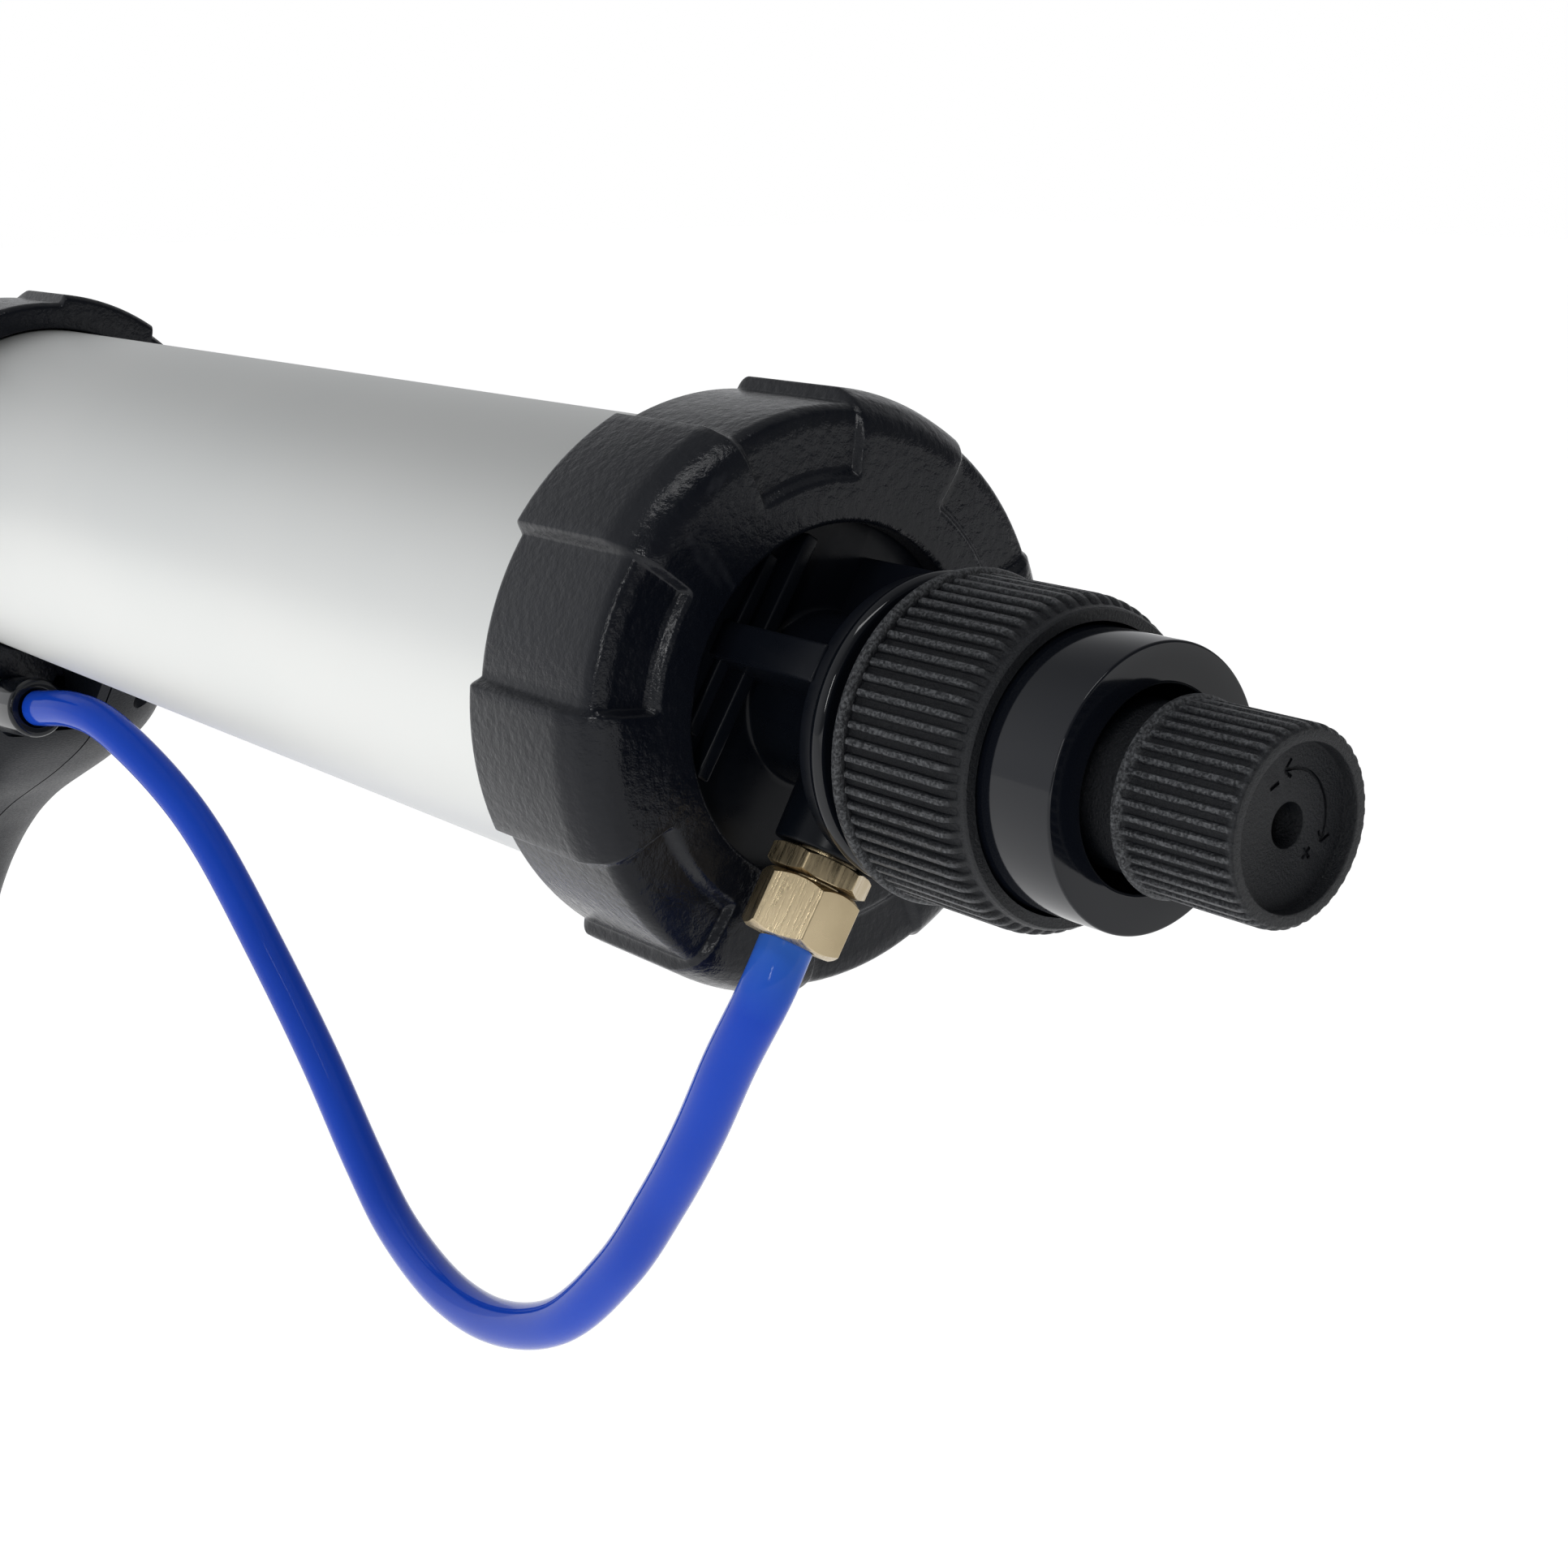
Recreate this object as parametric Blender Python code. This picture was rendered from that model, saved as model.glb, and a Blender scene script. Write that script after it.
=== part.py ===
"""Pneumatic sealant gun: air cylinder with regulator, hose, pistol handle and cartridge tube.

Built in metres, +Z up, +X towards the rear of the gun, +Y to the gun's right.
The origin is the middle of the hand grip. Helper functions take millimetres
measured on the gun itself: s along the cylinder axis (0 at the rear ring nut's
front edge, growing to the rear), y to the right and h above the cylinder axis.
"""
import math

import bmesh
import bpy
from mathutils import Matrix, Vector

# ---------------------------------------------------------------- driving sizes (mm)
GRIP_S = -286.0          # station on the cylinder axis over the grip's centre, which is the origin
GRIP_H = -100.0          # height of the grip's centre below the cylinder axis
GAP = 0.3                # assembly gap between neighbouring pieces

BARREL_R = 27.5
BARREL_BORE = 26.0
BARREL_REAR = 12.0
BARREL_FRONT = -197.0
RING_PAD_R = 33.5
RING_RECESS_R = 32.1
RING_LEN = 22.0
RING_OPEN_R = 19.5
RING_GROUPS = 6
RECESS_MID_DEG = 9.0     # first recess, from the top towards the left side
MIDDLE_RING_S = -185.0
FRONT_RING_S = -387.0
TUBE_REAR = -211.5
TUBE_FRONT = -399.0
PLATE_S = -399.3         # rear face of the nozzle plate's rim
ROD_R = 5.0

DISC_R = 28.5
RIM_R = 16.75
CORE_R = 9.5
FIT_S = 30.0
FIT_DEG = 148.0          # hose fitting, from the top towards the left side
RIB_OFFSET = 10.5
HEX_AF = 10.0            # both brass hexagons, across flats

COLLAR_R = 17.0
COLLAR_KNURLS = 28
BONNET_R = 14.2
KNOB_R = 9.5
KNOB_KNURLS = 21

HOSE_D = 6.0
PORT = (-173.3, -11.5, -34.0)
PORT_RISE_DEG = 8.0

HEAD_HALF = 16.0
WALL = 3.2
PIVOT_S = -316.0
PIVOT_H = -49.0
VALVE_H = -72.0
VALVE_S = -301.0
INLET_S = -287.0
SADDLE_SCREWS = (-174.0, -181.7, -238.0, -300.0)
SADDLE_DEG = 13.0
HANDLE_SCREWS = ((-222.0, -50.5), (-298.0, -44.0), (-277.0, -104.0), (-301.0, -147.0))

for old in list(bpy.data.objects):
    bpy.data.objects.remove(old, do_unlink=True)


# ---------------------------------------------------------------- helpers
def pt(s, y, h):
    """Gun coordinates in millimetres to scene coordinates in metres."""
    return Vector(((s - GRIP_S) / 1000.0, y / 1000.0, (h - GRIP_H) / 1000.0))


def material(name, colour, roughness, metallic=0.0):
    mat = bpy.data.materials.get(name)
    if mat is None:
        mat = bpy.data.materials.new(name)
        mat.use_nodes = True
        shader = mat.node_tree.nodes["Principled BSDF"]
        shader.inputs["Base Color"].default_value = (*colour, 1.0)
        shader.inputs["Roughness"].default_value = roughness
        shader.inputs["Metallic"].default_value = metallic
    return mat


def black(name):
    return material(name, (0.025, 0.027, 0.032), 0.5)


def make(name, verts, faces, mat, origin=None):
    """A mesh object from gun-frame points, with its origin at a gun-frame point."""
    base = pt(*origin) if origin else Vector((0.0, 0.0, 0.0))
    mesh = bpy.data.meshes.new(name)
    mesh.from_pydata([pt(*v) - base for v in verts], [], faces)
    bm = bmesh.new()
    bm.from_mesh(mesh)
    bmesh.ops.recalc_face_normals(bm, faces=bm.faces)
    bm.to_mesh(mesh)
    bm.free()
    mesh.validate()
    obj = bpy.data.objects.new(name, mesh)
    obj.location = base
    bpy.context.scene.collection.objects.link(obj)
    if mat:
        obj.data.materials.append(mat)
        mesh.shade_smooth()
        mesh.set_sharp_from_angle(angle=math.radians(32))
    return obj


def turned_points(profile, segs, centre, axis, ref, radius_at=None):
    """Points and faces of a closed profile of (t, r) turned about an axis."""
    centre = Vector(centre)
    axis = Vector(axis).normalized()
    ref = Vector(ref)
    ref = (ref - axis * ref.dot(axis)).normalized()
    side = axis.cross(ref)
    verts = []
    rings = []
    for index, (t, r) in enumerate(profile):
        base = centre + axis * t
        if r <= 1e-6:
            verts.append(tuple(base))
            rings.append([len(verts) - 1])
            continue
        row = []
        for k in range(segs):
            ang = 2.0 * math.pi * k / segs
            rr = radius_at(index, k, r) if radius_at else r
            point = base + (ref * math.cos(ang) + side * math.sin(ang)) * rr
            verts.append(tuple(point))
            row.append(len(verts) - 1)
        rings.append(row)
    faces = []
    count = len(rings)
    for i in range(count):
        a = rings[i]
        b = rings[(i + 1) % count]
        if len(a) == 1 and len(b) == 1:
            continue
        for k in range(segs):
            n = (k + 1) % segs
            if len(a) == 1:
                faces.append((a[0], b[k], b[n]))
            elif len(b) == 1:
                faces.append((a[k], b[0], a[n]))
            else:
                faces.append((a[k], b[k], b[n], a[n]))
    return verts, faces


def turned(name, profile, mat, segs=32, centre=(0.0, 0.0, 0.0), axis=(1.0, 0.0, 0.0),
           ref=(0.0, 0.0, 1.0), origin=None, radius_at=None):
    verts, faces = turned_points(profile, segs, centre, axis, ref, radius_at)
    return make(name, verts, faces, mat, origin)


def prism(name, outline, y0, y1, mat, origin=None):
    """A side outline of (s, h) points carried from y0 to y1."""
    count = len(outline)
    verts = [(s, y0, h) for s, h in outline] + [(s, y1, h) for s, h in outline]
    faces = [tuple(range(count)), tuple(range(2 * count - 1, count - 1, -1))]
    for k in range(count):
        n = (k + 1) % count
        faces.append((k, n, count + n, count + k))
    return make(name, verts, faces, mat, origin)


def block(name, low, high, mat=None):
    (a, b, c), (d, e, f) = low, high
    verts = [(a, b, c), (d, b, c), (d, e, c), (a, e, c), (a, b, f), (d, b, f), (d, e, f), (a, e, f)]
    faces = [(0, 3, 2, 1), (4, 5, 6, 7), (0, 1, 5, 4), (1, 2, 6, 5), (2, 3, 7, 6), (3, 0, 4, 7)]
    return make(name, verts, faces, mat)


def slab(name, centre, axes, halves, mat=None):
    """A block along three given directions, half sizes in millimetres."""
    centre = Vector(centre)
    u, v, w = (Vector(a).normalized() for a in axes)
    verts = []
    for k in (-1, 1):
        for i, j in ((-1, -1), (1, -1), (1, 1), (-1, 1)):
            verts.append(tuple(centre + u * halves[0] * i + v * halves[1] * j + w * halves[2] * k))
    faces = [(0, 3, 2, 1), (4, 5, 6, 7), (0, 1, 5, 4), (1, 2, 6, 5), (2, 3, 7, 6), (3, 0, 4, 7)]
    return make(name, verts, faces, mat)


def tool(obj):
    obj.hide_render = True
    obj.display_type = "WIRE"
    return obj


def boolean(obj, other, operation):
    mod = obj.modifiers.new(operation.lower(), "BOOLEAN")
    mod.operation = operation
    mod.solver = "EXACT"
    mod.object = tool(other)


def cut(obj, *others):
    for other in others:
        boolean(obj, other, "DIFFERENCE")


def join(obj, *others):
    for other in others:
        boolean(obj, other, "UNION")


def smooth_route(points, count):
    """Evenly spaced points on a smooth curve through hand-set route points."""
    pts = [Vector(p) for p in points]
    ends = [pts[0] * 2 - pts[1]] + pts + [pts[-1] * 2 - pts[-2]]
    fine = []
    for i in range(1, len(ends) - 2):
        p0, p1, p2, p3 = ends[i - 1:i + 3]
        for k in range(24):
            t = k / 24.0
            a = p1 * 2.0
            b = (p2 - p0) * t
            c = (p0 * 2 - p1 * 5 + p2 * 4 - p3) * t * t
            d = (p1 * 3 - p0 - p2 * 3 + p3) * t * t * t
            fine.append((a + b + c + d) * 0.5)
    fine.append(pts[-1])
    run = [0.0]
    for a, b in zip(fine, fine[1:]):
        run.append(run[-1] + (b - a).length)
    out = []
    j = 0
    for k in range(count):
        want = run[-1] * k / (count - 1)
        while j < len(run) - 2 and run[j + 1] < want:
            j += 1
        f = (want - run[j]) / (run[j + 1] - run[j])
        out.append(fine[j].lerp(fine[j + 1], f))
    return out


def tube_curve(name, route, radius, mat, resolution=2):
    """A filled round cord or pipe along a route of gun-frame points."""
    curve = bpy.data.curves.new(name, "CURVE")
    curve.dimensions = "3D"
    curve.bevel_depth = radius / 1000.0
    curve.bevel_resolution = resolution
    curve.use_fill_caps = True
    spline = curve.splines.new("POLY")
    spline.points.add(len(route) - 1)
    for item, p in zip(spline.points, route):
        item.co = (*pt(*p), 1.0)
    obj = bpy.data.objects.new(name, curve)
    bpy.context.scene.collection.objects.link(obj)
    curve.materials.append(mat)
    return obj


def coil_route(centre, axis, ref, radius, length, turns, per_turn=9):
    """Points of a compression spring's wire, with closed end turns."""
    axis = Vector(axis).normalized()
    ref = Vector(ref).normalized()
    side = axis.cross(ref)
    out = []
    steps = int(turns * per_turn)
    for k in range(steps + 1):
        f = k / steps
        ang = 2.0 * math.pi * turns * f
        out.append(Vector(centre) + axis * (length * f) + (ref * math.cos(ang) + side * math.sin(ang)) * radius)
    return out


def hexagon(name, across, t0, t1, before, after, mat, centre, axis, ref, chamfer=0.5):
    """A turned fitting whose part from t0 to t1 is a hexagon with its corners turned off."""
    corner = across / 2.0 / math.cos(math.radians(30))
    steps = 2

    def radius_at(index, k, r):
        if not len(before) <= index < len(before) + 4:
            return r
        ang = math.radians((k % steps) * 60.0 / steps - 30.0)
        return min(across / 2.0 / math.cos(ang), r)

    edge = across / 2.0 - 0.1
    middle = [(t0, edge), (t0 + chamfer, corner), (t1 - chamfer, corner), (t1, edge)]
    return turned(name, list(before) + middle + list(after), mat, 6 * steps, centre, axis, ref, None, radius_at)


# ---------------------------------------------------------------- materials
ALU = material("satin_aluminium", (0.72, 0.73, 0.74), 0.36, 1.0)
BRASS = material("brass", (0.72, 0.57, 0.30), 0.32, 1.0)
STEEL = material("zinc_steel", (0.60, 0.61, 0.62), 0.35, 1.0)
SPRING = material("spring_steel", (0.45, 0.46, 0.48), 0.30, 1.0)
RUBBER = material("seal_rubber", (0.03, 0.03, 0.03), 0.70)
HOSE = material("blue_hose", (0.02, 0.10, 0.50), 0.28)
NYLON = material("nozzle_orange", (0.78, 0.24, 0.03), 0.45)

UP = Vector((0.0, 0.0, 1.0))
FIT_DIR = Vector((0.0, -math.sin(math.radians(FIT_DEG)), math.cos(math.radians(FIT_DEG))))
FIT_CROSS = Vector((0.0, -math.sin(math.radians(FIT_DEG - 90)), math.cos(math.radians(FIT_DEG - 90))))
FIT_AT = Vector((FIT_S, 0.0, 0.0))
X = Vector((1.0, 0.0, 0.0))


def left_dir(deg):
    """Radial direction at an angle from the top towards the gun's left."""
    return Vector((0.0, -math.sin(math.radians(deg)), math.cos(math.radians(deg))))


# ---------------------------------------------------------------- air cylinder and cartridge tube
def tube(name, front, rear):
    profile = [(front, BARREL_BORE), (front, BARREL_R - 0.4), (front + 0.4, BARREL_R),
               (rear - 0.4, BARREL_R), (rear, BARREL_R - 0.4), (rear, BARREL_BORE)]
    return turned(name, profile, ALU, 60)


air_cylinder = tube("air_cylinder", BARREL_FRONT, BARREL_REAR)
cartridge_tube = tube("cartridge_tube", TUBE_FRONT, TUBE_REAR)

SADDLE_DIR = left_dir(180 + SADDLE_DEG)
SCREW_HOLE = [(23.0, 0.0), (23.0, 4.1), (26.3, 4.1), (28.3, 2.35), (38.0, 2.35), (38.0, 0.0)]


def saddle_hole(index, name):
    centre = (SADDLE_SCREWS[index], 0.0, 0.0)
    return turned(name, SCREW_HOLE, None, 12, centre, SADDLE_DIR, X)


cut(air_cylinder, saddle_hole(0, "cylinder_hole_a"), saddle_hole(1, "cylinder_hole_b"))
cut(cartridge_tube, saddle_hole(2, "tube_hole_a"), saddle_hole(3, "tube_hole_b"))


# ---------------------------------------------------------------- castellated ring nuts
def ring_nut(name, start, direction):
    """Ring nut with six gripping pads; direction is +1 when its open face looks to the rear."""
    middle = (start + direction * RING_LEN / 2, 0.0, 0.0)
    pad = [(0.0, 32.7), (0.8, RING_PAD_R), (17.2, RING_PAD_R), (19.8, 32.7), (21.4, 31.1), (RING_LEN, 29.2),
           (RING_LEN, 24.7), (RING_LEN, 24.2), (RING_LEN, 20.0), (21.5, RING_OPEN_R), (18.6, RING_OPEN_R),
           (18.6, 28.8), (11.5, 28.8), (11.5, 27.8), (0.0, 27.8)]
    recess = [(0.0, 31.3), (0.8, RING_RECESS_R), (17.2, RING_RECESS_R), (19.8, RING_RECESS_R), (20.7, 31.7),
              (21.0, 29.9), (21.0, 24.7), (RING_LEN, 24.2)] + pad[8:]
    half = 15.0
    stations = []
    for group in range(RING_GROUPS):
        mid = RECESS_MID_DEG + 60.0 * group
        for off in (-half + 0.6, 0.0, half - 0.6):
            stations.append((mid + off, recess))
        for off in (-half + 0.6, 0.0, half - 0.6):
            stations.append((mid + 30.0 + off, pad))
    verts = []
    for deg, section in stations:
        radial = left_dir(deg)
        for t, r in section:
            verts.append(tuple(Vector((start + direction * t, 0, 0)) + radial * r))
    rows = len(pad)
    faces = []
    for i in range(len(stations)):
        j = (i + 1) % len(stations)
        for k in range(rows):
            n = (k + 1) % rows
            faces.append((i * rows + k, i * rows + n, j * rows + n, j * rows + k))
    return make(name, verts, faces, black(name + "_black"), middle)


ring_nut("rear_ring_nut", 0.0, 1.0)
ring_nut("middle_ring_nut", MIDDLE_RING_S, -1.0)
ring_nut("front_ring_nut", FRONT_RING_S, -1.0)

# ---------------------------------------------------------------- rear bulkhead and hub
bulkhead = turned("rear_bulkhead", [(3.0, 2.2), (3.0, 25.7), (6.0, 25.7), (6.0, 24.0), (8.2, 24.0),
                                    (8.2, 25.7), (12.3, 25.7), (12.3, DISC_R), (18.2, DISC_R), (18.2, CORE_R),
                                    (34.4, CORE_R), (34.4, 15.9), (36.2, 15.9), (36.2, 6.0), (22.5, 6.0),
                                    (22.5, 2.2)], black("bulkhead_black"), 32)
parts = []
for sign in (1, -1):
    parts.append(slab("rib_%d" % (sign + 1), Vector((18.9, 0, 0)) + FIT_CROSS * (RIB_OFFSET + 1.0) * sign,
                      (X, FIT_DIR, FIT_CROSS), (1.4, 14.3, 0.9)))
    parts.append(slab("step_%d" % (sign + 1), Vector((18.3, 0, 0)) + FIT_CROSS * (RIB_OFFSET + 3.9) * sign,
                      (X, FIT_DIR, FIT_CROSS), (0.9, 10.5, 0.8)))
for index, (deg, out) in enumerate(((58, 16.2), (238, 16.2), (328, 16.2))):
    radial = left_dir(deg)
    across = left_dir(deg + 90)
    parts.append(slab("fin_%d" % index, Vector((26.3, 0, 0)) + radial * (out + 8.0) / 2,
                      (X, radial, across), (8.6, (out - 8.0) / 2, 2.1)))
parts.append(turned("boss", [(7.0, 0.0), (7.0, 6.2), (16.2, 5.9), (16.2, 0.0)], None, 28,
                    FIT_AT, FIT_DIR, X))
join(bulkhead, *parts)
cut(bulkhead, turned("boss_bore", [(4.0, 0.0), (4.0, 1.6), (9.0, 1.6), (9.0, 3.9), (18.0, 3.9), (18.0, 0.0)], None,
                     20, FIT_AT, FIT_DIR, X))

turned("bulkhead_o_ring", [(7.1 + 0.75 * math.cos(a), 25.0 + 0.7 * math.sin(a))
                           for a in (2 * math.pi * k / 5 for k in range(5))], RUBBER, 36)
turned("hub_rim", [(36.5, 14.6), (36.5, 16.2), (37.0, 16.65), (37.8, 16.65), (38.4, 15.9), (38.4, 14.6)],
       black("rim_black"), 32)

# ---------------------------------------------------------------- pressure regulator
turned("regulator_body", [(33.0, 2.3), (33.0, 5.7), (36.5, 5.7), (36.5, 14.2), (50.0, 14.2), (50.0, 10.2),
                          (40.5, 10.2), (40.5, 2.3)], black("body_black"), 24)


def knurl(depth, first, last):
    """Radius rule for straight knurling: every second point sits in a groove."""
    def rule(index, k, r):
        return r - depth if first <= index <= last and k % 2 else r
    return rule


turned("regulator_collar", [(41.1, 14.5), (41.1, 17.2), (41.5, 17.5), (42.1, 17.2), (42.3, COLLAR_R), (55.6, COLLAR_R),
                            (57.6, 16.6), (58.7, 16.2), (58.7, 14.5)], black("collar_black"), 2 * COLLAR_KNURLS,
       radius_at=knurl(0.55, 4, 6))
turned("regulator_bonnet", [(50.3, 11.5), (50.3, BONNET_R), (67.5, BONNET_R), (67.9, BONNET_R - 0.4), (67.9, 10.3),
                            (67.6, 10.05), (65.0, 10.05), (65.0, 11.5)], black("bonnet_gloss_black"), 32)
knob_origin = (78.0, 0.0, 0.0)
turned("regulator_knob", [(60.0, 3.4), (60.0, 8.4), (71.2, 8.4), (71.2, 9.8), (72.0, 9.8), (72.2, KNOB_R), (84.3, KNOB_R),
                          (85.0, 9.0), (85.0, 7.8), (83.6, 7.8), (83.6, 2.1), (78.4, 2.1), (78.4, 3.4)],
       black("knob_black"), 2 * KNOB_KNURLS, origin=knob_origin, radius_at=knurl(0.5, 5, 7))
turned("regulator_spindle", [(52.5, 0.0), (52.5, 2.2), (53.0, 2.6), (59.4, 2.6), (59.4, 3.1), (78.1, 3.1), (78.1, 0.0)],
       STEEL, 20, origin=knob_origin)
turned("spring_button", [(54.6, 2.9), (54.6, 5.0), (56.2, 5.0), (56.2, 9.6), (58.2, 9.6), (58.2, 2.9)],
       STEEL, 24, origin=(56.4, 0.0, 0.0))
turned("sensing_piston", [(42.2, 0.0), (42.2, 9.8), (43.6, 9.8), (43.6, 8.2), (45.6, 8.2), (45.6, 9.8), (46.8, 9.8),
                          (46.8, 5.2), (48.0, 5.2), (48.0, 0.0)], BRASS, 24, origin=(45.0, 0.0, 0.0))
turned("piston_o_ring", [(44.6 + 0.7 * math.cos(a), 9.2 + 0.68 * math.sin(a))
                         for a in (2 * math.pi * k / 5 for k in range(5))], RUBBER, 24, origin=(45.0, 0.0, 0.0))
tube_curve("regulator_spring", coil_route((48.1, 0, 0), X, UP, 7.4, 7.0, 3.5), 0.65, SPRING, 0)
turned("regulator_poppet", [(28.0, 0.0), (28.0, 2.4), (29.6, 2.4), (29.6, 4.6), (31.2, 4.6), (32.4, 3.2), (32.4, 1.5),
                            (41.9, 1.5), (41.9, 0.0)], BRASS, 16, origin=(30.0, 0.0, 0.0))
tube_curve("poppet_spring", coil_route((23.2, 0, 0), X, UP, 3.6, 5.7, 3.5), 0.4, SPRING, 0)

# ---------------------------------------------------------------- brass hose connection
hexagon("hose_adaptor", HEX_AF, 16.5, 19.0, [(9.3, 1.5), (9.3, 3.5), (16.5, 3.5)], [(19.0, 2.7), (25.0, 2.3), (25.0, 1.5)],
        BRASS, FIT_AT, FIT_DIR, X, 0.3)
hexagon("hose_nut", HEX_AF, 19.3, 26.0, [(19.3, 3.1)], [(26.0, 3.1)], BRASS, FIT_AT, FIT_DIR,
        X + FIT_CROSS * math.tan(math.radians(30)), 0.6)

port = Vector(PORT)
PORT_DIR = Vector((math.cos(math.radians(PORT_RISE_DEG)), 0.0, math.sin(math.radians(PORT_RISE_DEG))))
hose_start = FIT_AT + FIT_DIR * 26.3
HOSE_ROUTE = (hose_start, (30, -16.6, -26.8), (24.5, -17, -36), (17.5, -16.2, -47), (9.5, -15.4, -58),
              (0, -15, -70), (-13.5, -14.4, -82.3), (-30, -12.8, -90), (-47.5, -10.3, -93.2), (-66, -7, -92),
              (-79.5, -4.8, -86.5), (-96, -3, -75), (-112, -2.6, -62.5), (-126.5, -3.8, -49), (-137, -6, -40.5),
              (-150, -9, -33.5), (-160, -10.6, -32.1), port + PORT_DIR * 0.3)
tube_curve("air_hose", smooth_route(HOSE_ROUTE, 46), HOSE_D / 2.0, HOSE, 2)

# ---------------------------------------------------------------- handle outline
# Height, rear edge, front edge, half width, rear rounding and front rounding of level cuts.
LEVELS = ((-18.0, -164.0, -324.0, 15.0, 12.0, 6.0),
          (-29.0, -167.0, -324.0, 15.6, 12.0, 6.0),
          (-40.0, -177.0, -325.0, 16.0, 12.0, 6.0),
          (-43.0, -180.5, -325.0, 16.0, 12.0, 6.0),
          (-48.5, -190.6, -324.8, 15.8, 12.0, 6.0),
          (-54.6, -202.0, -323.5, 15.5, 12.5, 6.5),
          (-59.5, -213.5, -321.5, 15.5, 13.0, 7.5),
          (-67.0, -227.5, -315.0, 15.5, 14.0, 9.0),
          (-74.0, -237.5, -312.0, 15.5, 14.5, 9.5),
          (-81.0, -245.5, -310.0, 15.5, 15.0, 10.0),
          (-88.0, -252.5, -309.3, 15.6, 15.5, 10.5),
          (-97.0, -260.0, -309.0, 15.8, 16.0, 11.0),
          (-110.0, -265.5, -308.8, 16.0, 16.0, 11.0),
          (-140.0, -271.0, -309.5, 15.4, 16.0, 11.0),
          (-155.0, -273.5, -310.5, 14.9, 15.5, 11.0),
          (-162.5, -275.5, -308.5, 12.6, 14.0, 9.0),
          (-164.0, -278.5, -304.5, 9.5, 12.0, 8.0))
CAP_STEPS = 6


def level_outline(rear, front, half, rear_cap, front_cap):
    """Plan outline with an elliptical rear end and front end joined by straight sides."""
    out = []
    for k in range(CAP_STEPS + 1):
        a = math.pi / 2 - math.pi * k / CAP_STEPS
        out.append((rear - rear_cap + rear_cap * math.cos(a), half * math.sin(a)))
    for k in range(CAP_STEPS + 1):
        a = -math.pi / 2 - math.pi * k / CAP_STEPS
        out.append((front + front_cap + front_cap * math.cos(a), half * math.sin(a)))
    return out


def stacked(name, levels, mat):
    """A closed body through level outlines, each given with its height."""
    verts = []
    for level in levels:
        for s, y in level_outline(*level[1:]):
            verts.append((s, y, level[0]))
    count = 2 * (CAP_STEPS + 1)
    faces = [tuple(range(count)), tuple(range((len(levels) - 1) * count + count - 1, (len(levels) - 1) * count - 1, -1))]
    for i in range(len(levels) - 1):
        for k in range(count):
            n = (k + 1) % count
            faces.append((i * count + k, i * count + n, (i + 1) * count + n, (i + 1) * count + k))
    return make(name, verts, faces, mat)


def cavity_levels():
    out = []
    for h, rear, front, half, rear_cap, front_cap in LEVELS[2:-2]:
        top = h > -52.0
        edge = min(rear - WALL, -199.0) if top else rear - WALL
        level = h
        if h == LEVELS[2][0]:
            level = -38.3
        out.append((level, edge, front + WALL, half - WALL, rear_cap - 2.0, max(front_cap - 2.0, 3.0)))
    return out


def port_bore(name):
    return turned(name, [(-48.0, 0.0), (-48.0, 4.0), (-11.0, 4.0), (-11.0, 5.4), (4.0, 5.4), (4.0, 0.0)], None, 20,
                  PORT, PORT_DIR, UP)


def handle_half(name, side):
    """One moulded half of the handle; side is -1 for the gun's left half."""
    shell = stacked(name, LEVELS, black(name + "_black"))
    cut(shell, stacked(name + "_cavity", cavity_levels(), None))
    for index, (s, h) in enumerate(HANDLE_SCREWS):
        join(shell, turned("%s_post_%d" % (name, index), [(-14.0, 0.0), (-14.0, 4.3), (14.0, 4.3), (14.0, 0.0)], None, 12,
                           (s, 0.0, h), (0, 1, 0), UP))
    cut(shell, block(name + "_half", (-340, 0.15 * side - (0 if side < 0 else 40), -180),
                     (-120, 0.15 * side + (40 if side < 0 else 0), 0)))
    for index, (s, h) in enumerate(HANDLE_SCREWS):
        cut(shell, turned("%s_screw_%d" % (name, index), [(-20.0, 0.0), (-20.0, 3.5), (-11.7, 3.5), (-11.7, 1.9),
                                                           (10.0, 1.9), (10.0, 0.0)], None, 12,
                          (s, 0.0, h), (0, 1, 0), UP))
    cut(shell, turned(name + "_tube_seat", [(-340, 0.0), (-340, BARREL_R + GAP), (-212.2, BARREL_R + GAP),
                                            (-212.2, RING_PAD_R + 1.0), (-184.2, RING_PAD_R + 1.0),
                                            (-184.2, BARREL_R + GAP), (-140, BARREL_R + GAP), (-140, 0.0)], None, 60))
    if side < 0:
        cut(shell, block(name + "_hose_pocket", (-186.2, -30.0, -39.6), (-140.0, -2.0, -15.0)))
    cut(shell, block(name + "_trigger_slot", (-337.0, -5.4, -113.0), (-302.5, 5.4, -41.0)))
    cut(shell, turned(name + "_pin_hole", [(-30.0, 0.0), (-30.0, 2.3), (30.0, 2.3), (30.0, 0.0)], None, 20,
                      (PIVOT_S, 0.0, PIVOT_H), (0, 1, 0), UP))
    cut(shell, turned(name + "_inlet_hole", [(-30.0, 0.0), (-30.0, 7.3), (8.3, 7.3), (8.3, 0.0)], None, 24,
                      (INLET_S, 0.0, -158.5), (0, 0, 1), X))
    if side < 0:
        cut(shell, port_bore(name + "_port_bore"))
    for index in range(len(SADDLE_SCREWS)):
        cut(shell, saddle_hole(index, "%s_saddle_%d" % (name, index)))
    return shell


handle_half("handle_left", -1)
handle_half("handle_right", 1)

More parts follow.
